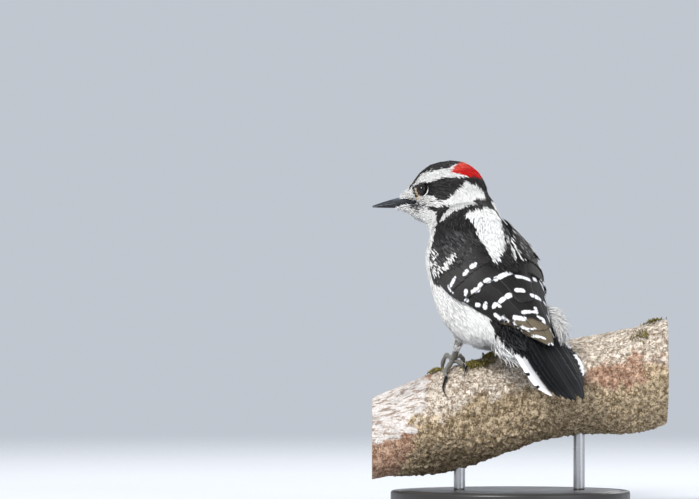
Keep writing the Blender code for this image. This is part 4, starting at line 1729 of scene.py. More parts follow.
class VaneMaker:
    """Turns vanes into thin closed blades with their own bake map, marks and tints."""

    rows = 60
    columns = 13
    thick = 0.16
    fray = 0.16
    parting = 0.35
    ground: Colour = SOOT
    rim = 0.55

    def __init__(self, lay: Callable[[Array, Array, Array], Array], seed: int) -> None:
        """Holds the surface: a function of place, across and depth that gives world points."""
        self.lay = lay
        self.rng = np.random.default_rng(seed)

    def build(self, name: str, vanes: list[Vane], material: Material) -> Object:
        """Joins all the vanes of one piece.

        Args:
            name: The piece's name.
            vanes: Its feathers, which don't need an order.
            material: Their finish.

        Returns:
            The piece as an object at the origin.
        """
        points, faces, uvs, tints, marks, places, first = [], [], [], [], [], [], 0
        for number, vane in enumerate(vanes):
            spots, tint, mark, place = self._blade(vane, number)
            cells, uv = self._cells(number, len(vanes), first)
            points.append(spots)
            faces += cells
            uvs.append(uv)
            tints.append(tint)
            marks.append(mark)
            places.append(place)
            first += len(spots)
        mesh = new_mesh(name, np.vstack(points), faces)
        layer = mesh.uv_layers.new(name="OFBake")
        layer.data.foreach_set("uv", np.vstack(uvs).astype(np.float32).ravel())
        store(mesh, tint=np.vstack(tints), mark=np.concatenate(marks), vane=np.vstack(places))
        return show(name, mesh, material)

    def _profile(self, vane: Vane, share: Array) -> Array:
        """Half width along the vane, from its root to its tip.

        Args:
            vane: The feather.
            share: Places from its root to its tip.

        Returns:
            A half width for each.
        """
        a, b, c, d = vane.tip.value
        table = (
            (0.0, 0.45), (0.10, 0.78), (0.3, 1.0), (0.72, a), (0.86, b), (0.94, c), (0.985, d), (1.0, 0.04)
        )
        notches = 1.0 - self.fray * (self.rng.random(len(share)) < 0.16) * self.rng.random(len(share))
        return vane.half * between(table, share) * notches

    def _blade(self, vane: Vane, number: int) -> tuple[Array, Array, Array, Array]:
        """Points, tints, marks and own coordinates of one vane's closed ring rows.

        Args:
            vane: The feather.
            number: Its place in the piece's order.

        Returns:
            The four arrays, with a row for each point.
        """
        share = np.linspace(0.0, 1.0, self.rows) ** 0.92
        knots = np.asarray(vane.path, float)
        table = np.column_stack([np.linspace(0.0, 1.0, len(knots)), knots])
        place, across = between(table, share, 1), between(table, share, 2)
        middle = self.lay(place, across, 0.0)
        lengths = path_lengths(middle)
        half = self._profile(vane, share)
        q_top = np.linspace(-1.0, 1.0, self.columns)
        q = np.concatenate([q_top, q_top[-2:0:-1]])
        is_top = np.arange(len(q)) < self.columns
        ahead = unit(np.gradient(middle, axis=0))
        outward = unit(self.lay(place, across, -1.0) - middle)
        side = unit(np.cross(outward, ahead))
        probe = self.lay(place, across + 0.5, 0.0) - middle
        side = side * np.sign((side * probe).sum(1, keepdims=True))
        bow = 1.0 - q**2
        lean = 0.20 * math.copysign(1.0, across.mean())
        depth = vane.depth + vane.rise * (1.0 - share[:, None]) - lean * q[None] - 0.16 * bow[None]
        depth = depth + self.rng.normal(0.0, 0.03)
        thick = self.thick * bow[None] * np.where(is_top, -0.5, 0.5)[None]
        lateral = q[None] * half[:, None]
        points = (
            middle[:, None] + side[:, None] * lateral[..., None]
            - outward[:, None] * (depth + thick)[..., None]
        )
        points = self._settle(points, depth + thick)
        outer = q * math.copysign(1.0, across.mean())
        mark = self._marks(vane, place, lengths, points, outer)
        mark = mark + 0.2 * self.rng.uniform(-1.0, 0.6) * (mark > -1.5)
        mark = mark - self.parting * (ease(0.72, 1.0, np.abs(q)) + 0.25 * np.exp(-((q / 0.11) ** 2)))[None]
        # Paler worn tips towards the end of each vane.
        worn = ease(0.78, 1.0, share)[:, None, None] * 0.08
        tint = (
            np.broadcast_to(np.array(self.ground), (*points.shape[:2], 3)) * (1.0 + 0.2 * self.rng.normal())
        )
        rim = np.clip((np.abs(q) - 0.84) / 0.16, 0, 1)[None, :, None] * self.rim
        tint = mix(tint, GREY, np.clip(rim + worn, 0, 1))
        tint = self._toned(tint, points)
        numbers = np.full(lateral.shape, 7.0 * number)
        own = np.stack(np.broadcast_arrays(q[None], lengths[:, None], numbers), -1)
        points, tint, own = (self._closed(field) for field in (points, tint, own))
        return points, np.clip(tint, 0, 1), np.append(mark, [mark[0].mean(), mark[-1].mean()]), own

    def _closed(self, rows: Array) -> Array:
        """A blade's rows as one list, ending with the middles of the first and the last."""
        return np.vstack([rows.reshape(-1, 3), rows[0].mean(0), rows[-1].mean(0)])

    def _settle(self, points: Array, depth: Array) -> Array:
        """Leaves the points as they are; a curved surface brings them back to their depth."""
        return points

    def _toned(self, tint: Array, points: Array) -> Array:
        """Leaves the tints as they are; a wing's change from place to place."""
        return tint

    def _marks(self, vane: Vane, place: Array, lengths: Array, points: Array, outer: Array) -> Array:
        """Distance in millimetres inside the pale marks, negative outside.

        Args:
            vane: The feather.
            place: The place of each row on its surface.
            lengths: How far along the feather each row lies.
            points: All its points.
            outer: Each column's place across, 1 at the outer edge.

        Returns:
            A value for each point.
        """
        mark = np.full(points.shape[:2], -2.0)
        way = math.copysign(1.0, place[-1] - place[0])
        for spot, half in vane.bars:
            at = np.interp(spot * way, place * way, lengths)
            inside = np.minimum((half - np.abs(lengths - at))[:, None], 3.0 * (outer[None] - 0.3))
            mark = np.maximum(mark, inside)
        if vane.white:
            mark = -mark
        if vane.crescent:
            mark = np.maximum(mark, (vane.crescent - lengths[-1] + lengths)[:, None])
        return mark

    def _cells(self, number: int, count: int, first: int) -> tuple[list, Array]:
        """Faces of one blade and their bake coordinates: a column of the square for each blade.

        Args:
            number: The blade's place in the piece's order.
            count: How many blades there are.
            first: The number of its first point.

        Returns:
            The faces, and a coordinate for each of their corners.
        """
        sides = 2 * self.columns - 2
        row, step = np.meshgrid(np.arange(self.rows - 1), np.arange(sides), indexing="ij")
        onward = (step + 1) % sides
        low, high = row * sides, (row + 1) * sides
        quads = np.stack([low + step, low + onward, high + onward, high + step], -1)
        u, v = step + np.array([0, 1, 1, 0])[:, None, None], row + np.array([0, 0, 1, 1])[:, None, None]
        uv = np.stack([u, v], -1).transpose(1, 2, 0, 3).reshape(-1, 2).astype(float)
        faces = (quads.reshape(-1, 4)[:, ::-1] + first).tolist()
        uv = uv.reshape(-1, 4, 2)[:, ::-1].reshape(-1, 2)
        start, end = first + self.rows * sides, first + self.rows * sides + 1
        caps, last = [], (self.rows - 1) * sides
        for k in range(sides):
            faces.append([first + k, first + (k + 1) % sides, start])
            faces.append([first + last + (k + 1) % sides, first + last + k, end])
            top = self.rows - 1
            caps += [(k, 0), (k + 1, 0), (k + 0.5, -0.8), (k + 1, top), (k, top), (k + 0.5, top + 0.8)]
        uv = np.vstack([uv, np.array(caps, float)])
        uv[:, 0] = (number + 0.05 + 0.9 * uv[:, 0] / sides) / count
        uv[:, 1] = 0.02 + 0.96 * (uv[:, 1] + 1.0) / (self.rows + 1.0)
        return faces, uv


# White bars of the folded wings: start along and degrees (+ is left), end along and degrees, half width.
WING_BARS = (
    (-13.4, 38.3, -13.4, 42, 1.1), (-14.1, 49.6, -14.3, 52.4, 1.1), (-12.5, 65.2, -13.7, 74, 0.85),
    (-12.5, 79.4, -16.4, 78, 0.4), (-22.5, 4.5, -23.8, 25, 0.95), (-23.1, 33.4, -22.7, 37.3, 0.9),
    (-22.9, 43, -23.4, 46, 0.75), (-24.1, 49.8, -23.3, 56.8, 0.8), (-21.2, 63, -21.9, 65.4, 0.95),
    (-24.1, 69.6, -24, 71, 0.65), (-24.8, -1.5, -26.6, -18.5, 0.85), (-25.1, -28.5, -25, -33.5, 0.8),
    (-24.2, -44, -26.6, -54, 0.7), (-12.6, -59.4, -14.6, -64, 0.5), (-31.8, 8.4, -32.5, -1.5, 0.9),
    (-33, 20.8, -33.5, 37, 1.05), (-33.5, 45.4, -33.9, 49.6, 0.85), (-34.6, 43, -35.4, 41.4, 0.6),
    (-30.8, 55, -31.6, 57.4, 0.95), (-29.2, 61.8, -28.5, 65, 0.65), (-35, -11, -35.2, -28.6, 0.95),
    (-35.6, -40, -35.9, -46.4, 0.65), (-34, -55, -35.2, -60, 0.7), (-40.9, -7.3, -43.4, -4.3, 0.55),
    (-41.9, 21.5, -43.1, 0.5, 0.6), (-42.1, 38.7, -44.8, 25, 0.95), (-45.4, -2, -46.7, -13.4, 0.65),
    (-47.8, -7.8, -48.1, -12, 0.4), (-43.4, -36, -45, -37, 0.7), (-42, -50, -43.6, -52, 0.6),
    (-36.7, 56.4, -39, 54, 0.6), (-39.3, 51.2, -41.6, 48.6, 0.65), (-43.6, 49.1, -48.6, 44, 0.45),
    (-46.6, 41.8, -48.7, 34.8, 0.5), (-48.9, 34.4, -50, 22, 0.5), (-51.8, 40, -55.2, 11.5, 0.45),
    (-52.4, 31, -54.6, 18, 0.4), (-50, -28.2, -51.2, -28.2, 0.4),
)
# Where the wings turn olive: degrees from the ridge, and the place along the body where it starts.
OLIVE_FROM = (
    (-60, -52), (-22, -49.6), (3, -47.6), (15, -45.7), (24, -45.2), (40, -43.4), (52, -41), (90, -38),
)


class WingMaker(VaneMaker):
    """Vanes that wrap round the folded wings' hull."""

    swell = 0.1

    def _settle(self, points: Array, depth: Array) -> Array:
        """Brings points back to their depth under the hull.

        Args:
            points: The blade's points.
            depth: How far under the hull each belongs.

        Returns:
            The moved points.
        """
        along, degrees, over = hull_coordinates(points.reshape(-1, 3))
        outward = unit(hull_place(along, degrees, -1.0) - hull_place(along, degrees, 0.0))
        return (points.reshape(-1, 3) - outward * (over + depth.ravel())[:, None]).reshape(points.shape)

    def _marks(self, vane: Vane, place: Array, lengths: Array, points: Array, outer: Array) -> Array:
        """Adds the wing's own bars, which run on from feather to feather.

        Args:
            vane: The feather.
            place: The place of each row on the wing.
            lengths: How far along the feather each row lies.
            points: All its points.
            outer: Each column's place across, 1 at the outer edge.

        Returns:
            A value for each point.
        """
        along, degrees, _ = hull_coordinates(points.reshape(-1, 3))
        far = tuple((a, -b, c, -d, half) for a, b, c, d, half in WING_BARS if min(b, d) > 47.0)
        inside = self.swell + in_bars(WING_BARS + far, along, degrees).reshape(points.shape[:2])
        return np.maximum(super()._marks(vane, place, lengths, points, outer), inside)

    def _toned(self, tint: Array, points: Array) -> Array:
        """A painted brownish sheen on the coverts near the shoulder, and olive towards the wings' tips.

        Args:
            tint: Its colours.
            points: The blade's points.

        Returns:
            The changed colours.
        """
        along, degrees, _ = hull_coordinates(points.reshape(-1, 3))
        # Painted sheen: brownish grey over the coverts near the shoulder.
        sheen = 0.75 * ease(-30.0, -13.0, along) * ease(22.0, 48.0, np.abs(degrees))
        olive = ease(0.8, -0.8, along - between(OLIVE_FROM, degrees))
        shape = (*points.shape[:2], 1)
        return mix(mix(tint, SHEEN_FAWN, sheen.reshape(shape)), OLIVE, 0.9 * olive.reshape(shape))


@dataclass
class Wing:
    """A folded wing: a dark bed, its flight feathers in overlapping ranks, and soft shoulder tufts."""

    side: str
    bed_depth: float = 2.0
    bed_thin: float = 0.5
    bed_rows: int = 60
    bed_columns: int = 26
    # Places along the trunk, and how far from the ridge the bed and the tufts reach at most.
    bed_end: tuple = ((3, 8, 13, 19.5), (99, 80, 63, 50))
    tuft_end: tuple = (
        (-19, -13, -8, -4, 0, 8, 13, 18, 24),
        (8, 22, 44, 66, 100, 92, 74, 60, 50),
    )

    def __post_init__(self) -> None:
        """Works out the sign of this side."""
        self.sign = SIDES[self.side]
        self.rng = np.random.default_rng(71 if self.side == "left" else 72)

    def build(self, maker: WingMaker, finish: Material, bed: Material, plumage: Plumage, coat: Coat) -> None:
        """Makes the bed, the vanes and the shoulder tufts.

        Args:
            maker: The vane maker of this wing.
            finish: The vanes' finish.
            bed: The bed's finish.
            plumage: The markings.
            coat: The tuft maker.
        """
        node = f"wing_{self.side}"
        place_piece(self._bed(bed), "feathers_wing", node)
        for rank, vanes in self._ranks().items():
            place_piece(maker.build(f"{rank}_{self.side}", vanes, finish), "feathers_wing", node)
        self._tufts(plumage, coat)

    def _bed(self, material: Material) -> Object:
        """The closed slab under the feathers.

        Args:
            material: Its finish.

        Returns:
            The bed as an object at the origin.
        """
        places = np.linspace(-57.0, 19.5, self.bed_rows)
        rings = []
        for place in places:
            upper, lower = between(WING_EDGES, place, 1) + 1.0, between(WING_EDGES, place, 2) - 1.5
            lower = min(lower, np.interp(place, *self.bed_end))
            turns = self.sign * np.linspace(upper, lower, self.bed_columns)
            under = self.sign * np.linspace(lower, upper, self.bed_columns)
            low = self.bed_depth + self.bed_thin + 1.6 * ease(-50.0, -10.0, place)
            rings.append(np.vstack([hull_place(place, turns, self.bed_depth), hull_place(place, under, low)]))
        points, faces = closed_tube(np.array(rings))
        mesh = turned_out(new_mesh(f"wing_bed_{self.side}", points, faces))
        count = len(mesh.vertices)
        store(mesh, tint=np.tile(BLACK, (count, 1)), strand=np.ones((count, 3)), seed=np.zeros(count))
        return show(mesh.name, mesh, material)

    def _path(self, start: float, end: float, *degrees: float) -> tuple:
        """Knots from start to end through evenly parted angles."""
        places = np.linspace(start, end, len(degrees))
        return tuple((place, self.sign * angle) for place, angle in zip(places, degrees))

    def _ranks(self) -> dict[str, list[Vane]]:
        """The wing's feathers by rank, from the lowest to the highest.

        Returns:
            Each rank's vanes by its name.
        """
        below = 0.0 if self.side == "left" else 0.12
        primaries = []
        for k, (reach, turn) in enumerate(
            ((-51.5, 40.0), (-53.5, 34.0), (-55.5, 27.0), (-57.5, 19.0), (-58.5, 12.0), (-58.0, 6.0))
        ):
            path = self._path(-14.0, reach, 75.0 - 3.0 * k, 66.0 - 4.0 * k, 53.5 - 4.6 * k, turn)
            depth, edge = 1.1 - 0.07 * k + below, 0.7 if k else 0.0
            primaries.append(Vane(path, 2.4 + 0.15 * k, depth, 0.6, Tip.LANCE, crescent=edge))
        secondaries = []
        for k, (end, half, degrees) in enumerate((
            (-42.5, 3.0, (79.0, 73.0, 64.0, 56.0, 51.0)),
            (-46.5, 3.3, (75.0, 66.0, 56.0, 48.0, 42.0)),
            (-49.0, 3.8, (70.0, 59.0, 46.0, 37.0, 29.0)),
            (-50.5, 4.4, (61.0, 47.0, 32.0, 23.0, 16.0)),
            (-51.5, 4.7, (51.0, 33.0, 17.0, 8.0, 4.5)),
            (-38.0, 4.6, (40.0, 24.0, 12.0, 5.0, 3.0)),
        )):
            secondaries.append(Vane(self._path(-6.0, end, *degrees), half, 0.86 - 0.08 * k + below, 0.8))
        greater, median = [], []
        for k in range(9):
            middle = 79.0 - 6.4 * k
            path = self._path(
                -3.0, -24.6 + 0.25 * abs(k - 3), middle + 9.0, middle + 1.0, middle - 10.0 + 0.9 * k
            )
            greater.append(Vane(path, 2.5, 0.42 - 0.02 * k + below, 1.1))
            middle = 85.0 - 6.9 * k
            path = self._path(5.0, -16.8 + 0.3 * abs(k - 3), middle + 8.0, middle, middle - 8.0 + 0.4 * k)
            median.append(Vane(path, 2.3, 0.22 - 0.015 * k + below, 1.2))
        return {
            "primaries": primaries, "secondaries": secondaries, "greater_coverts": greater,
            "median_coverts": median
        }

    def _tufts(self, plumage: Plumage, coat: Coat) -> None:
        """Soft scapulars and lesser coverts over the shoulder.

        Args:
            plumage: The markings.
            coat: The tuft maker.
        """
        step = 0.82
        places = np.arange(-19.0, 24.0, step)
        rows = []
        for number, place in enumerate(places):
            upper = between(WING_EDGES, place, 1) - 6.0
            lower = between(WING_EDGES, place, 2) - 1.0
            lower = min(lower, np.interp(place, *self.tuft_end))
            gap = step / 22.0 * 57.3
            angles = np.arange(upper, lower, gap) + gap * 0.5 * (number % 2)
            rows.append(np.column_stack([np.full(len(angles), place), angles]))
        grid = np.vstack(rows)
        grid = grid + self.rng.normal(0.0, 1.0, grid.shape) * (0.2, 0.5)
        along, angle = grid[:, 0], self.sign * grid[:, 1]
        sink = 1.15 - 0.80 * ease(5.5, 1.0, along) * ease(48.0, 54.0, np.abs(angle))
        points = hull_place(along, angle, sink)
        ahead = unit(hull_place(along - 0.5, angle, sink) - points)
        normals = unit(hull_place(along, angle, sink - 1.0) - points)
        count = len(points)
        drift = np.cross(normals, ahead) * (
            self.sign * np.interp(np.abs(angle), (30, 80), (0.10, 0.30)) + self.rng.normal(0.0, 0.12, count)
        )[:, None]
        flow = unit(ahead - (ahead * normals).sum(1, keepdims=True) * normals + drift)
        length = (
            np.interp(along, (-12.0, 2.0, 14.0, 22.0), (5.0, 3.8, 4.6, 4.0))
            * self.rng.uniform(0.75, 1.25, count)
        )
        shown = points + flow * (length * 0.6)[:, None]
        tint = plumage.tints(shown, self.rng)
        width = self.rng.uniform(0.62, 0.95, count)
        lift = 10.5 + self.rng.normal(0.0, 2.0, count)
        roots = Roots(points, normals, flow, length, width, lift, tint)
        coat.lay(f"coat_shoulder_{self.side}", roots, TRUNK, "feathers_wing")


class FanMaker(VaneMaker):
    """Vanes that lie on the tail's arched fan."""

    thick = 0.3
    fray = 0.3
    parting = 0.2
    ground = BLACK
    rim = 0.12


@dataclass
class Tail:
    """The half-open tail: stiff pointed feathers on an arched fan."""

    root: tuple = (-39.0, -3.6, 7.6)
    tip: tuple = (-85.8, -7.4, 4.9)
    half_root: float = 8.8
    half_angle: float = math.radians(7.5)
    crown: float = 3.0
    # Each feather, lowest first: half width, rank, white or not, dark bars, then knots of reach and share.
    feathers: tuple = (
        (
            2.9, 5, True, ((27.1, 0.9), (34.4, 0.75)),
            ((-6, -0.78), (8, -0.96), (18, -0.90), (26, -0.84), (34, -0.75), (41.3, -0.54))
        ),
        (
            3, 5, True, ((11, 0.6), (15.8, 1.3)),
            ((-6, 0.90), (6, 1.28), (13, 1.55), (19, 1.52), (26, 1.27), (33, 0.95))
        ),
        (3.2, 4, False, (), ((-6, -0.50), (10, -0.62), (20, -0.56), (30, -0.48), (37, -0.41), (43.2, -0.37))),
        (3.3, 4, False, (), ((-6, 0.55), (8, 0.92), (16, 1.08), (24, 1.00), (33, 0.72), (41.5, 0.47))),
        (3.2, 3, False, (), ((-6, -0.35), (20, -0.38), (33, -0.30), (45.3, -0.20))),
        (3.3, 3, False, (), ((-6, 0.40), (10, 0.70), (20, 0.76), (30, 0.63), (43.8, 0.39))),
        (3.3, 2, False, (), ((-6, -0.20), (20, -0.22), (33, -0.17), (46.8, -0.10))),
        (3.4, 2, False, (), ((-6, 0.25), (10, 0.50), (20, 0.56), (32, 0.48), (45.6, 0.36))),
        (3.4, 1, False, (), ((-6, -0.05), (20, -0.05), (33, -0.03), (47.9, -0.01))),
        (3.4, 1, False, (), ((-6, 0.10), (20, 0.22), (33, 0.23), (46.9, 0.27))),
    )

    def __post_init__(self) -> None:
        """Works out the fan's own directions."""
        self.start = TRUNK.place(*self.root)
        run = TRUNK.place(*self.tip) - self.start
        self.length = float(np.linalg.norm(run))
        self.ahead = run / self.length
        dorsal = TRUNK.directions()[2]
        self.up = unit(dorsal - self.ahead * dorsal.dot(self.ahead))
        self.right = np.cross(self.up, self.ahead)

    def spot(self, out: Array, share: Array, depth: Array) -> Array:
        """World points on the fan by reach from its root and share of its half width.

        Args:
            out: Reach from the fan's root.
            share: Share of its half width, + on the right.
            depth: How far under its surface.

        Returns:
            A point for each.
        """
        out, share, depth = np.broadcast_arrays(*(np.asarray(v, float) for v in (out, share, depth)))
        turn = self.half_angle * share
        across = self.half_root * share + np.sin(turn) * out
        sag = self.crown * share**2 + depth
        return (
            self.start + (np.cos(turn) * out)[..., None] * self.ahead + across[..., None] * self.right
            - sag[..., None] * self.up
        )

    def build(self, finish: Material) -> None:
        """Makes the feathers, the outer ones lowest.

        Args:
            finish: The feathers' finish.
        """
        maker = FanMaker(self.spot, 91)
        vanes = []
        for half, rank, white, bars, knots in self.feathers:
            vanes.append(Vane(knots, half, 0.42 * rank - 1.3, 0.0, Tip.LANCE, bars, white))
        place_piece(maker.build("tail_feathers", vanes, finish), "feathers_tail", "tail")

    def coverts(self, coat: Coat) -> None:
        """Fluffy white flank and rump feathers beside the tail's root, and the dark coverts over it.

        Args:
            coat: The tuft maker.
        """
        rng = np.random.default_rng(97)
        for name, count, spot, spread, tint, length, width in (
            ("coat_flank_tuft_right", 860, (-41.0, -16.8, 5.0), (7.5, 3.4, 3.4), SNOW, 7.0, 0.6),
            ("coat_flank_tuft_left", 460, (-44.0, 9.0, 0.6), (6.0, 2.2, 2.2), SNOW, 6.5, 0.7),
            ("coat_vent", 900, (-49.0, -4.0, -1.4), (7.0, 8.0, 1.6), WHITE, 7.5, 0.9),
            ("coat_rump", 900, (-44.0, 1.5, 7.4), (7.0, 6.6, 1.6), BLACK, 7.0, 0.9),
        ):
            away = rng.normal(0.0, 1.0, (count, 3)) * 0.5
            points = TRUNK.place(*(np.asarray(spot)[:, None] + np.asarray(spread)[:, None] * away.T))
            middle = TRUNK.place(spot[0], spot[1] * 0.4, spot[2] * 0.4)
            normals = unit(points - middle)
            aim = -TRUNK.directions()[0] + 0.25 * normals
            flow = unit(
                aim - (aim * normals).sum(1, keepdims=True) * normals + rng.normal(0.0, 0.16, (count, 3))
            )
            flow = tangent(flow, normals)
            grey = GREY if tint is BLACK else SMOKE
            colours = mix(tint, grey, 0.25 * rng.random((count, 1)) ** 2)
            roots = Roots(
                points, normals, flow, length * rng.uniform(0.7, 1.15, count), np.full(count, width),
                13.0 + rng.normal(0, 6.0, count), colours
            )
            coat.lay(name, roots, TRUNK, "feathers_body")


# ---- bill, eyes and feet


@dataclass
class Bill:
    """The straight chisel bill in two halves, with its culmen ridge and a fine gape between them."""

    root: float = 13.0
    tip: float = 34.8
    tip_lift: float = 0.5
    line: float = -2.1
    upper: float = 2.5
    lower: float = 2.3
    gap: float = 0.06
    rows: int = 70
    columns: int = 25

    def build(self, finish: Material) -> None:
        """Makes both halves.

        Args:
            finish: Its finish.
        """
        for name, sign, depth in (("bill_upper", 1.0, self.upper), ("bill_lower", -1.0, self.lower)):
            share = np.linspace(0.0, 1.0, self.rows) ** 0.9
            turns = np.linspace(0.0, math.pi, self.columns)
            place = self.root + 1.0 + (self.tip - self.root - 1.0) * share
            taper = (1.0 - 0.88 * share**2)[:, None]
            width = between(BILL_WIDTHS, place)[:, None]
            ridge = 0.16 * np.exp(-((turns - math.pi / 2) / 0.22) ** 2)[None] * (1.0 - share)[:, None]
            groove = (
                -0.13 * np.exp(-((np.abs(turns - math.pi / 2) - 0.75) / 0.16) ** 2)[None]
                * ease(0.75, 0.3, share)[:, None]
            )
            high = depth * taper * np.sin(turns)[None] * (1.0 + ridge + groove)
            across = width * np.cos(turns)[None] * (1.0 + 0.5 * groove)
            base = np.linspace(math.pi, 0.0, 9)[1:-1]
            flat_across = width * np.cos(base)[None]
            flat_high = np.tile(0.12 * np.sin(base), (len(share), 1))
            across = np.hstack([across, flat_across])
            high = np.hstack([high, flat_high]) + self.gap
            rings = HEAD.place(
                place[:, None], across, self.line + self.tip_lift * share[:, None] + sign * high
            )
            points, faces = closed_tube(rings)
            mesh = turned_out(new_mesh(name + "_horn", points, faces))
            along = HEAD.local(np.vstack([rings.reshape(-1, 3), rings[0].mean(0), rings[-1].mean(0)]))
            # Painted highlight: paler along the top of the upper half, fading towards the tip.
            worn = 0.55 * ease(0.9, 2.0, along[:, 2] - self.line) * ease(31.0, 18.0, along[:, 0])
            store(mesh, worn=worn[: len(mesh.vertices)])
            place_piece(show(mesh.name, mesh, finish), "bill_horn", name)


def build_eye(side: str, finish: Material) -> None:
    """A smooth wet eyeball with a slightly raised clear front.

    Args:
        side: Left or right.
        finish: Its finish.
    """
    sign = SIDES[side]
    forward, left, above = HEAD.directions()
    rows, columns = 40, 64
    polar = np.linspace(0.0, math.pi, rows + 2)[1:-1][:, None]
    around = np.linspace(0.0, 2 * math.pi, columns, endpoint=False)[None]
    bulge = EYE_RADIUS * (1.0 + 0.05 * np.exp(-((polar / 0.55) ** 4)))
    out, reach = bulge * np.cos(polar), bulge * np.sin(polar)
    centre = HEAD.place(EYE[0], sign * EYE[1], EYE[2])
    rings = centre + sign * (out * np.ones_like(around))[..., None] * left
    rings = (
        rings + (reach * np.cos(around))[..., None] * forward + (reach * np.sin(around))[..., None] * above
    )
    points, faces = closed_tube(rings)
    mesh = turned_out(new_mesh(f"eyeball_{side}", points, faces))
    gap = np.append(np.repeat(polar.ravel() / 0.95, columns), [0.0, 3.0])
    store(mesh, worn=gap)
    place_piece(show(mesh.name, mesh, finish), "eye_gloss", f"eye_{side}")


PERCH_Y = 5.0
PERCH_SECTIONS = (
    (-60, 28.6, 18.2), (-50, 31.4, 19.4), (-31.3, 37, 22.2), (-4.4, 44.3, 22.1), (10.8, 48.7, 21),
    (30.4, 51.9, 20.8), (50.4, 54.6, 22.6), (68, 59, 22.7),
)
PERCH_LUMP = 0.03


def bark_radius(place: Array, turn: Array) -> Array:
    """Radius of the lumpy branch at places along it and angles round it."""
    lumps = np.sin(3 * turn + place * 0.09) + 0.7 * np.sin(5 * turn - place * 0.13 + 1.0)
    return between(PERCH_SECTIONS, place, 2) * (1.0 + PERCH_LUMP * lumps)


def on_bark(place: Array, degrees: Array, lift: Array) -> Array:
    """Points above the bark: down the near side by an angle from the top, at a height over it.

    Args:
        place: Places along the branch.
        degrees: Angles from its top, + down the near side.
        lift: Heights over the bark.

    Returns:
        A point for each.
    """
    place, degrees, lift = np.broadcast_arrays(*(np.asarray(v, float) for v in (place, degrees, lift)))
    turn = np.radians(degrees)
    reach = bark_radius(place, turn) + lift
    heart = between(PERCH_SECTIONS, place, 1)
    return np.stack([place, PERCH_Y - np.sin(turn) * reach, heart + np.cos(turn) * reach], axis=-1)


def off_bark(points: Array) -> Array:
    """Directions away from the branch's heart at points near it."""
    heart = between(PERCH_SECTIONS, points[:, 0], 1)
    return unit(points - np.column_stack([points[:, 0], np.full(len(points), PERCH_Y), heart]))


@dataclass(frozen=True)
class Toe:
    """A toe's knuckles from its foot's joint: along the branch, degrees to the near side, lift."""

    name: str
    knuckles: tuple
    bend: tuple
    point: tuple


TOES = (
    Toe(
        "hind_outer", ((-1.6, 6.0, 2.2), (-3.4, 19.0, 1.5), (-3.2, 33.0, 1.5)), (-4.6, 47.0, 1.7),
        (-2.4, 59.0, 0.4)
    ),
    Toe("hind_inner", ((3.0, 8.0, 2.2), (4.8, 18.0, 1.5)), (5.2, 29.0, 2.0), (4.2, 38.0, 0.5)),
    Toe(
        "front_outer", ((-2.6, -18.0, 5.6), (-4.2, -32.0, 4.0), (-4.6, -44.0, 1.6)), (-4.6, -55.0, 2.2),
        (-3.4, -63.0, 0.5)
    ),
    Toe(
        "front_inner", ((2.6, -18.0, 4.2), (4.4, -30.0, 2.8), (5.2, -39.0, 1.6)), (6.2, -50.0, 2.2),
        (7.0, -58.0, 0.5)
    ),
)


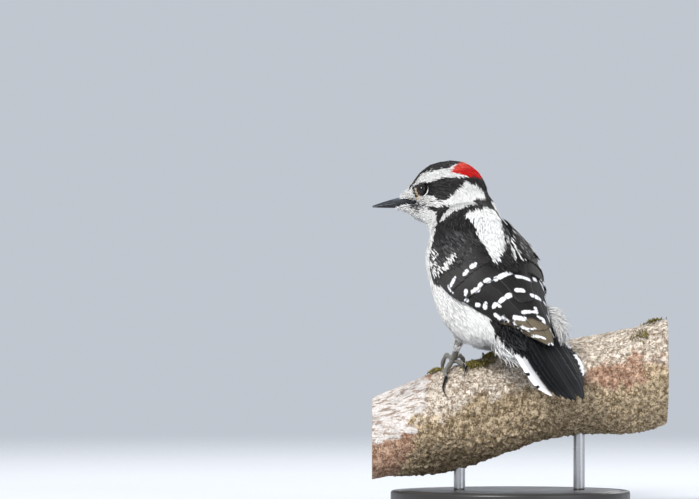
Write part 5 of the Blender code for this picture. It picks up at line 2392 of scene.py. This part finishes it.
@dataclass
class Foot:
    """A scaly shank and four clawed toes, two before and two behind, gripping the bark."""

    side: str
    shank: float = 1.3
    toe: float = 1.08
    claw: float = 0.98
    scute: float = 0.62
    sides: int = 24

    def build(self, scales: Material, horn: Material, coat: Coat) -> None:
        """Makes the foot, its claws and the feathers at its ankle.

        Args:
            scales: The skin's finish.
            horn: The claws' finish.
            coat: The tuft maker.
        """
        place, tilt, height = {"left": (-24.8, 8.0, 3.6), "right": (-6.5, -36.0, 3.6)}[self.side]
        mirror = SIDES[self.side]
        ankle = np.asarray(ANKLES[self.side])
        joint = on_bark(place, tilt, height)
        down = unit(joint - ankle)
        parts = []
        line = smooth_line([ankle - down * 2.2, mix(ankle, joint, 0.5), joint + down * 0.3], 90)
        radii = self.shank * np.interp(
            np.linspace(0, 1, 91), (0.0, 0.2, 0.5, 0.85, 1.0), (1.25, 1.1, 0.95, 1.15, 1.3)
        )
        parts.append(self._scaled(line, radii, np.tile(-HEAD.directions()[0], (len(line), 1))))
        for toe in TOES:
            spots = [on_bark(place + mirror * a, tilt + t, lift) for a, t, lift in toe.knuckles]
            knots = [joint - down * 0.4, *spots]
            line = smooth_line(knots, 80)
            share = np.linspace(0.0, len(spots), 81)
            pads = 1.0 + 0.12 * np.cos(2 * math.pi * share)
            radii = self.toe * np.interp(share / len(spots), (0.0, 1.0), (1.1, 0.80)) * pads
            parts.append(self._scaled(line, radii, off_bark(line)))
            onward = unit(line[-1] - line[-3])
            tips = [line[-1] - onward * 0.35]
            tips += [on_bark(place + mirror * a, tilt + t, lift) for a, t, lift in (toe.bend, toe.point)]
            self._claw(toe.name, tips, horn)
        points, faces = joined(parts)
        mesh = turned_out(new_mesh(f"scaled_foot_{self.side}", points, faces))
        store(mesh, worn=np.zeros(len(mesh.vertices)))
        place_piece(show(mesh.name, mesh, scales), "foot_scales", f"foot_{self.side}")
        self._stocking(coat, ankle, down)

    def _stocking(self, coat: Coat, ankle: Array, down: Array) -> None:
        """White feathers that run from the shin over the top of the shank.

        Args:
            coat: The tuft maker.
            ankle: Where the shank starts.
            down: The way the shank runs.
        """
        rng = np.random.default_rng(83)
        count = 170
        aside = unit(np.cross(down, HEAD.directions()[2]))
        turn = rng.uniform(0.0, 2 * math.pi, count)
        outward = np.outer(np.cos(turn), aside) + np.outer(np.sin(turn), np.cross(down, aside))
        reach = rng.uniform(-2.6, 1.4, count)
        points = ankle + np.outer(reach, down) + outward * (1.5 - 0.1 * reach)[:, None]
        tint = np.array(WHITE) * rng.uniform(0.8, 1.0, (count, 1))
        flow = np.tile(down, (count, 1))
        roots = Roots(
            points, outward, flow, rng.uniform(1.4, 2.2, count), np.full(count, 0.5),
            rng.normal(4.0, 3.0, count), tint
        )
        coat.lay(f"coat_ankle_{self.side}", roots, TRUNK, "feathers_body")

    def _scaled(self, line: Array, radii: Array, outward: Array) -> tuple[Array, list]:
        """A tube whose outer face is stepped with overlapping scutes.

        Args:
            line: Points of its middle.
            radii: Its radius at each of them.
            outward: Where its outer face looks at each.

        Returns:
            Points and faces.
        """
        lengths = path_lengths(line)
        step = (lengths / self.scute) % 1.0
        turns = np.linspace(0.0, 2 * math.pi, self.sides, endpoint=False)
        outer = np.clip(np.cos(turns) * 1.6, 0.0, 1.0)[None]
        under = np.clip(-np.cos(turns), 0.0, 1.0)[None]
        relief = 1.0 + outer * (0.11 * step[:, None] - 0.05) + under * 0.05 * np.sin(lengths * 9.0)[:, None]
        return closed_tube(rings_round(line, outward, radii[:, None] * relief, 0.92))

    def _claw(self, name: str, knots: list, horn: Material) -> None:
        """A curved, laterally flat claw that tapers to a sharp point.

        Args:
            name: The toe's name.
            knots: Points that its middle passes through.
            horn: The claws' finish.
        """
        line, sides = smooth_line(knots, 36), 20
        share = np.linspace(0.0, 1.0, 37)
        radii = (
            self.claw * (1.0 - share**1.25) * (1.0 + 0.12 * np.exp(-(((share - 0.08) / 0.07) ** 2))) + 0.02
        )
        rings = rings_round(line, off_bark(line), np.tile(radii[:, None], (1, sides)), 0.66)
        points, faces = closed_tube(rings)
        mesh = turned_out(new_mesh(f"horn_claw_{self.side}_{name}", points, faces))
        worn = np.append(np.repeat(0.3 * (1.0 - share), sides), [0.3, 0.0])
        store(mesh, worn=worn[: len(mesh.vertices)])
        place_piece(show(mesh.name, mesh, horn), "claw_horn", f"claw_{self.side}_{name}")


# ---- perch and stand


@dataclass(frozen=True)
class BarkFinish:
    """Weathered branch: bare pale wood, red-brown bark, crusts of lichen, and dark cracks and hollows that
    are partly their own darker colour and partly painted shade.
    """

    name: str

    def build(self) -> Material:
        """Makes the material; the mesh carries how bare, ruddy and crusted each place is.

        Returns:
            The material.
        """
        material, build, shader = new_material(self.name)
        where = build.where()
        parts = build.add("ShaderNodeSeparateXYZ", Vector=build.attribute("cover", "Vector"))
        grain = build.grain(build.scaled(where, (60.0, 800.0, 800.0)), 1.0, 6.0, 0.65)
        blotch = build.grain(where, 110.0, 6.0, 0.65)
        mid = build.grain(build.scaled(where, (520.0, 700.0, 420.0)), 1.0, 6.0, 0.72)
        fine = build.grain(where, 1900.0, 3.0, 0.7)
        both = build.math("ADD", build.math("MULTIPLY", mid, 0.62), build.math("MULTIPLY", fine, 0.38))
        bare = build.blend(build.grade(grain, 0.38, 0.54), (0.31, 0.235, 0.185), (0.66, 0.615, 0.585))
        ruddy = build.blend(build.grade(both, 0.42, 0.60), (0.20, 0.10, 0.06), (0.56, 0.38, 0.27))
        crust = build.blend(build.grade(both, 0.42, 0.58), (0.24, 0.175, 0.12), (0.78, 0.70, 0.60))
        tan = build.blend(build.grade(both, 0.42, 0.59), (0.14, 0.095, 0.045), (0.62, 0.49, 0.33))
        colour = self._over(build, parts.outputs[0], blotch, 1.2, ruddy, bare)
        crust = self._over(build, parts.outputs[2], blotch, 1.6, crust, tan)
        colour = self._over(build, parts.outputs[1], blotch, 1.2, colour, crust)
        wander = build.math("ABSOLUTE", build.math("SUBTRACT", build.grain(where, 190.0, 4.0, 0.7), 0.5))
        veins = build.grade(wander, 0.0, 0.022, 0.65, 0.0)
        warp = build.add("ShaderNodeTexNoise", Vector=where, Scale=300.0, Detail=3.0).outputs["Color"]
        warp = {"in_0": warp, "in_1": (0.009, 0.009, 0.006), "in_2": where}
        moved = build.add("ShaderNodeVectorMath", {"operation": "MULTIPLY_ADD"}, **warp).outputs[0]
        cells = {"Vector": build.scaled(moved, (1.15, 1.0, 0.6)), "Scale": 400.0}
        plates = build.add(
            "ShaderNodeTexVoronoi", {"feature": "DISTANCE_TO_EDGE"}, **cells
        ).outputs["Distance"]
        cracks = build.math(
            "MULTIPLY", build.grade(plates, 0.0, 0.12, 0.7, 0.0), build.grade(blotch, 0.44, 0.60)
        )
        split = build.math("MAXIMUM", veins, cracks)
        # Dark cracks, veins and low hollows: partly the bark's own darker colour, partly painted shade.
        hollows_and_shade = build.math("MAXIMUM", build.grade(both, 0.40, 0.34, 0.0, 0.7), split)
        hollows_and_shade = build.math("MULTIPLY", hollows_and_shade, build.grade(parts.outputs[0], 1.0, 0.4, 0.3, 1.0))
        colour = build.blend(hollows_and_shade, colour, (0.045, 0.028, 0.016))
        height = build.math("ADD", both, build.math("MULTIPLY", grain, 0.5))
        height = build.math("SUBTRACT", height, build.math("MULTIPLY", split, 0.4))
        build.feed(
            shader, Base_Color=build.shaded(colour, build.grade(blotch, 0.3, 0.7, 0.84, 1.36)),
            Roughness=build.grade(fine, 0.2, 0.8, 0.95, 0.7), Normal=build.bump(0.9, 0.0009, height),
            Specular_IOR_Level=0.2,
        )
        return material

    def _over(
        self, build: Tree, share: object, ragged: object, amount: float, under: object, top: object
    ) -> object:
        """Lays one tone over another up to a ragged edge."""
        wander = build.math("MULTIPLY", build.math("SUBTRACT", ragged, 0.5), amount)
        return build.blend(build.grade(build.math("ADD", share, wander), 0.25, 0.75), under, top)


@dataclass
class Perch:
    """The cut length of branch: lumpy, part debarked, crusted with lichen and tufted with moss."""

    rows: int = 330
    sides: int = 250
    end_rings: int = 22

    def build(self, bark: Material, coat: Coat) -> None:
        """Makes the branch and its moss.

        Args:
            bark: The branch's finish.
            coat: The tuft maker for moss.
        """
        place = np.linspace(-60.0, 68.0, self.rows)
        degrees = np.linspace(-180.0, 180.0, self.sides, endpoint=False)
        along, turn = (grid.ravel() for grid in np.meshgrid(place, degrees, indexing="ij"))
        ground = on_bark(along, turn, 0.0)
        bare, crust, tan = self._cover(along, turn, ground)
        rough = (
            speckle(ground, 2.6, 1.0) * 0.45 + speckle(ground, 1.1, 2.0) * 0.30
            + speckle(ground, 0.55, 3.0) * 0.16
        )
        ridges = 0.35 * speckle(ground * (0.25, 1.0, 1.0), 2.0, 4.0)
        lift = mix(
            ridges * 0.5 + rough * 0.35, 0.4 + rough * (1.0 + 0.9 * ease(100.0, 140.0, np.abs(turn))), crust
        )
        lift = mix(lift, ridges * 0.35 + 0.12 * rough, bare * (1.0 - crust)) - 0.45
        ends = ease(0.0, 1.6, 64.0 - np.abs(along - 4.0))
        points = on_bark(along, turn, lift * ends - 0.5 * (1.0 - ends)).reshape(self.rows, self.sides, 3)
        points, faces = self._with_ends(points, place)
        mesh = turned_out(new_mesh("branch", points, faces))
        cover = np.column_stack([bare, crust, tan])
        extra = np.tile([1.0, 0.0, 0.0], (len(mesh.vertices) - len(cover), 1))
        store(mesh, cover=np.vstack([cover, extra]))
        place_piece(show("branch", mesh, bark), "bark", "perch")
        self._moss(coat)

    def _with_ends(self, rings: Array, place: Array) -> tuple[Array, list]:
        """Closes the sawn ends with rows of rings towards the heart.

        Args:
            rings: The branch's rings.
            place: Where each is along it.

        Returns:
            Points and faces.
        """
        rows, sides = rings.shape[:2]
        parts, faces = [rings.reshape(-1, 3)], []
        index = np.arange(rows * sides).reshape(rows, sides)
        rolled = np.roll(index, -1, axis=1)
        faces += np.stack([index[:-1], rolled[:-1], rolled[1:], index[1:]], -1).reshape(-1, 4).tolist()
        first = rows * sides
        for row, sign in ((0, -1.0), (rows - 1, 1.0)):
            rim = rings[row]
            heart = rim.mean(0)
            before = index[row]
            for share in np.linspace(0.96, 0.04, self.end_rings):
                ring = heart + (rim - heart) * share
                ring[:, 0] = place[row] + sign * 0.05 * np.sin(share * 55.0)
                here = np.arange(first, first + sides)
                parts.append(ring)
                faces += np.stack([before, np.roll(before, -1), np.roll(here, -1), here], -1).tolist()
                before, first = here, first + sides
            parts.append(heart[None])
            faces += [(a, b, first) for a, b in zip(before.tolist(), np.roll(before, -1).tolist())]
            first += 1
        return np.vstack(parts), faces

    def _cover(self, along: Array, turn: Array, ground: Array) -> tuple[Array, Array, Array]:
        """How bare, crusted and olive the bark is at each place.

        Args:
            along: Places along the branch.
            turn: Degrees from its top.
            ground: The same places as points.

        Returns:
            The three shares for each place.
        """
        drift = speckle(ground, 9.0, 5.0)
        small = speckle(ground, 3.2, 6.0)
        low = np.abs(turn)
        bare = ease(0.3, -0.3, (along + 37.0) / 6.0 + 0.9 * drift + 0.4 * small)
        bare = bare * ease(0.3, -0.3, (low - 93.0) / 26.0 + 0.4 * small)
        crust = ease(-0.3, 0.3, (along + 39.0 + 0.10 * (low - 60.0)) / 6.0 + 0.9 * drift + 0.6 * small)
        ruddy = ease(
            1.5, 0.3, np.hypot((along - 48.0) / 18.0, (turn - 80.0) / 20.0) + 0.5 * small + 0.3 * drift
        )
        crust = crust * (1.0 - 0.85 * ruddy)
        tan = ease(-1.0, 1.0, (low - 80.0) / 20.0 + 0.5 * drift + 0.35 * small)
        return bare * (1.0 - ruddy), crust, tan

    def _moss(self, coat: Coat) -> None:
        """Little cushions of moss and leafy lichen along the top.

        Args:
            coat: The tuft maker for moss.
        """
        rng = np.random.default_rng(57)
        # Place along, degrees from the top, reach along and round, and tufts.
        beds = (
            (-32.5, 2.0, 3.2, 9.0, 230), (-17.0, 20.0, 3.6, 12.0, 430), (-8.0, 8.0, 3.6, 12.0, 380),
            (-12.0, 30.0, 4.4, 9.0, 200),
            (62.0, 6.0, 4.0, 12.0, 160), (56.0, 40.0, 4.0, 8.0, 90), (-33.0, -60.0, 6.0, 16.0, 200),
            (20.0, -50.0, 8.0, 14.0, 200),
        )
        points, tints = [], []
        for place, tilt, reach, sweep_out, count in beds:
            along = place + rng.normal(0.0, reach * 0.5, count)
            turn = tilt + rng.normal(0.0, sweep_out * 0.5, count)
            mound = np.exp(-((along - place) / reach) ** 2 - ((turn - tilt) / sweep_out) ** 2)
            points.append(on_bark(along, turn, 1.0 * mound - 0.1))
            tints.append(mix(MOSS, LICHEN, rng.random((count, 1)) ** 1.5))
        points = np.vstack(points)
        normals = off_bark(points)
        flow = tangent(rng.normal(0.0, 1.0, points.shape), normals)
        count = len(points)
        roots = Roots(
            points, normals, flow, rng.uniform(0.7, 1.7, count), rng.uniform(0.3, 0.6, count),
            rng.uniform(20.0, 80.0, count), np.vstack(tints)
        )
        coat.lay("moss", roots, Axes((0.0, PERCH_Y, 40.0), 90.0, 0.0), "bark")


@dataclass
class Stand:
    """A round lacquered base with a softened, stepped edge and two slim rods."""

    radius: float = 52.0
    thick: float = 7.0
    rounding: float = 1.2
    rod: float = 2.5
    rods: tuple = (("left", -22), ("right", 30))

    def build(self, lacquer: Material, steel: Material) -> None:
        """Makes the base and rods.

        Args:
            lacquer: The base's finish.
            steel: The rods' finish.
        """
        r, t, c = self.radius, self.thick, self.rounding
        bend = [(r - c + c * math.sin(a), t - c + c * math.cos(a)) for a in np.linspace(0.0, math.pi / 2, 8)]
        foot = [(r - c + c * math.sin(a), c + c * math.cos(a)) for a in np.linspace(math.pi / 2, math.pi, 8)]
        outline = [
            (0.3 * r, t), (0.8 * r, t), (r - 4.4, t), (r - 4.1, t - 0.35), (r - 3.5, t - 0.35),
            (r - 3.2, t), *bend, (r, t / 2), *foot, (0.8 * r, 0.0), (0.3 * r, 0.0)
        ]
        self._lathe("display_base", np.array(outline), 0.0, 0.0, 180, lacquer, "stand_lacquer", "stand_base")
        for side, place in self.rods:
            top = float(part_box(f"stand_rod_{side}")[1][2]) / MM + 1.5
            low = t + 0.02
            line = [
                (self.rod * 0.9, low), (self.rod, low + 0.3),
                *((self.rod, z) for z in np.linspace(low + 1.0, top - 0.3, 12)), (self.rod * 0.9, top)
            ]
            self._lathe(
                f"rod_{side}", np.array(line)[::-1], place, PERCH_Y, 48, steel, "stand_steel",
                f"stand_rod_{side}"
            )

    def _lathe(
        self, name: str, outline: Array, x: float, y: float, sides: int, material: Material, slot: str,
        node: str
    ) -> None:
        """A closed turned piece from its outline of radius and height, top to bottom.

        Args:
            name: Its name.
            outline: Its radii and heights.
            x: Where its middle stands.
            y: Where its middle stands.
            sides: Points round it.
            material: Its finish.
            slot: Its finish slot in the record.
            node: The frame's node that it stands for.
        """
        turns = np.linspace(0.0, 2 * math.pi, sides, endpoint=False)
        rings = np.stack([
            x + outline[:, :1] * np.cos(turns), y + outline[:, :1] * np.sin(turns),
            np.repeat(outline[:, 1:], sides, axis=1),
        ], axis=-1)
        points, faces = closed_tube(rings)
        mesh = turned_out(new_mesh(name, points, faces))
        place_piece(show(name, mesh, material), slot, node)


# ---- studio


@dataclass
class Studio:
    """A pale floor that fades into the backdrop, soft lights and a long lens."""

    aim: tuple = (-69.8, 5.0, 111.5)
    distance: float = 3000.0
    frame_width: float = 303.9
    backdrop: Colour = (0.56, 0.60, 0.66)
    floor_radius: float = 1.3

    def build(self) -> None:
        """Makes the floor, lights, world and camera."""
        self._floor()
        self._world()
        self._lamp("key", (-1.0, -2.3, 1.9), 0.9, 98.0, (1.0, 0.98, 0.95))
        self._lamp("fill", (1.9, -1.6, 0.9), 1.8, 18.0, (0.93, 0.96, 1.0))
        self._lamp("back", (0.9, 1.9, 1.7), 1.3, 40.0, (1.0, 0.98, 0.96))
        self._camera()
        bpy.context.scene.view_settings.view_transform = "Standard"

    def _floor(self) -> None:
        """A wide disc whose rim melts away."""
        material, build, shader = new_material("pale_floor")
        where, sides = build.where(), 96
        reach = build.add("ShaderNodeVectorMath", {"operation": "LENGTH"}, in_0=where).outputs["Value"]
        colour = build.blend(build.grain(where, 6.0, 3.0), (0.60, 0.62, 0.65), (0.64, 0.66, 0.69))
        fade = build.grade(reach, 0.35, self.floor_radius * 0.96, 1.0, 0.0)
        build.feed(shader, Base_Color=colour, Alpha=fade, Roughness=0.8)
        turns = np.linspace(0.0, 2 * math.pi, sides, endpoint=False)
        rim = np.column_stack([np.cos(turns), np.sin(turns), np.zeros(sides)]) * self.floor_radius / MM
        rim[:, 2] = -0.05
        floor = show("floor", new_mesh("floor", rim, [tuple(range(sides))]), material)

    def _world(self) -> None:
        """An even pale surround."""
        world = bpy.data.worlds.new("soft_surround")
        bpy.context.scene.world = world
        world.use_nodes = True
        sky = world.node_tree.nodes["Background"]
        sky.inputs["Color"].default_value = (*self.backdrop, 1.0)
        sky.inputs["Strength"].default_value = 0.95

    def _lamp(self, name: str, place: tuple, size: float, power: float, colour: Colour) -> None:
        """A square soft light aimed at the model.

        Args:
            name: Its name.
            place: Where it stands, in metres.
            size: Its width, in metres.
            power: Its power in watts.
            colour: Its colour.
        """
        lamp = bpy.data.lights.new(name, "AREA")
        lamp.energy, lamp.size, lamp.color = power, size, colour
        obj = show(name, lamp)
        obj.location = place
        obj.rotation_euler = (Vector((-0.01, 0.0, 0.09)) - Vector(place)).to_track_quat("-Z", "Y").to_euler()

    def _camera(self) -> None:
        """A long lens, level with the bird."""
        lens = bpy.data.cameras.new("camera")
        lens.sensor_width = 36.0
        lens.lens = lens.sensor_width * self.distance / self.frame_width
        lens.clip_start, lens.clip_end = 0.1, 50.0
        camera = show("camera", lens)
        x, y, z = self.aim
        camera.location = Vector((x, y - self.distance, z)) * MM
        camera.rotation_euler = (math.pi / 2, 0.0, 0.0)
        bpy.context.scene.camera = camera


def main() -> None:
    """Builds the woodpecker, its branch and its stand."""
    logging.basicConfig(level=logging.INFO, format="%(message)s")
    barbs = strand_group()
    plume = TuftFinish("contour_feathers", 0.85, 0.74, 0.2).build(barbs)
    vane = VaneFinish("flight_feathers", 0.35, (0.03, 0.024, 0.02), 0.3).build(barbs)
    quill = VaneFinish("tail_quills", 0.4, (0.045, 0.041, 0.039), 0.35, 1.5).build(barbs)
    bill = HornFinish(
        "slate_bill", (0.009, 0.010, 0.0125), (0.13, 0.15, 0.185), 0.42, (500.0, 1500.0, 1500.0)
    ).build()
    scales = HornFinish(
        "grey_foot_scales", (0.15, 0.145, 0.13), (0.46, 0.44, 0.40), 0.5, (900.0, 900.0, 900.0)
    ).build()
    claw = HornFinish(
        "dark_claw_horn", (0.003, 0.003, 0.003), (0.016, 0.014, 0.013), 0.38, (700.0, 700.0, 1500.0)
    ).build()
    lid = HornFinish(
        "dark_lid_skin", (0.01, 0.0095, 0.01), (0.05, 0.048, 0.047), 0.55, (2600.0, 2600.0, 2600.0)
    ).build()
    eye = EyeFinish("wet_dark_eye", (0.012, 0.006, 0.003)).build()
    moss = TuftFinish("moss_and_lichen", 0.7, 0.5, 0.1).build(barbs)
    bark = BarkFinish("weathered_bark").build()
    lacquer = LacquerFinish("dark_lacquer", (0.020, 0.018, 0.017), 0.34, 0.0, (60.0, 60.0, 60.0)).build()
    steel = LacquerFinish("brushed_steel", (0.42, 0.42, 0.43), 0.30, 1.0, (500.0, 500.0, 12.0)).build()

    plumage = Plumage()
    shapes = TuftShapes().build()
    tree = tuft_tree()
    coat = Coat(shapes, tree, plume)
    skin = Skin()
    place_piece(skin.build(plumage, plume), "feathers_body", *skin.nodes)
    BodyCoat(skin, plumage, coat).build()
    FaceTrim(coat, skin).build(lid)
    for side, seed in (("left", 61), ("right", 62)):
        Wing(side).build(WingMaker(hull_place, seed), vane, plume, plumage, coat)
    tail = Tail()
    tail.build(quill)
    tail.coverts(coat)
    Bill().build(bill)
    for side in SIDES:
        build_eye(side, eye)
        Foot(side).build(scales, claw, coat)
    Perch().build(bark, Coat(shapes, tree, moss))
    Stand().build(lacquer, steel)
    for shape in list(shapes.objects):
        bpy.data.objects.remove(shape)
    bpy.data.collections.remove(shapes)
    Studio().build()


if __name__ == "__main__":
    main()
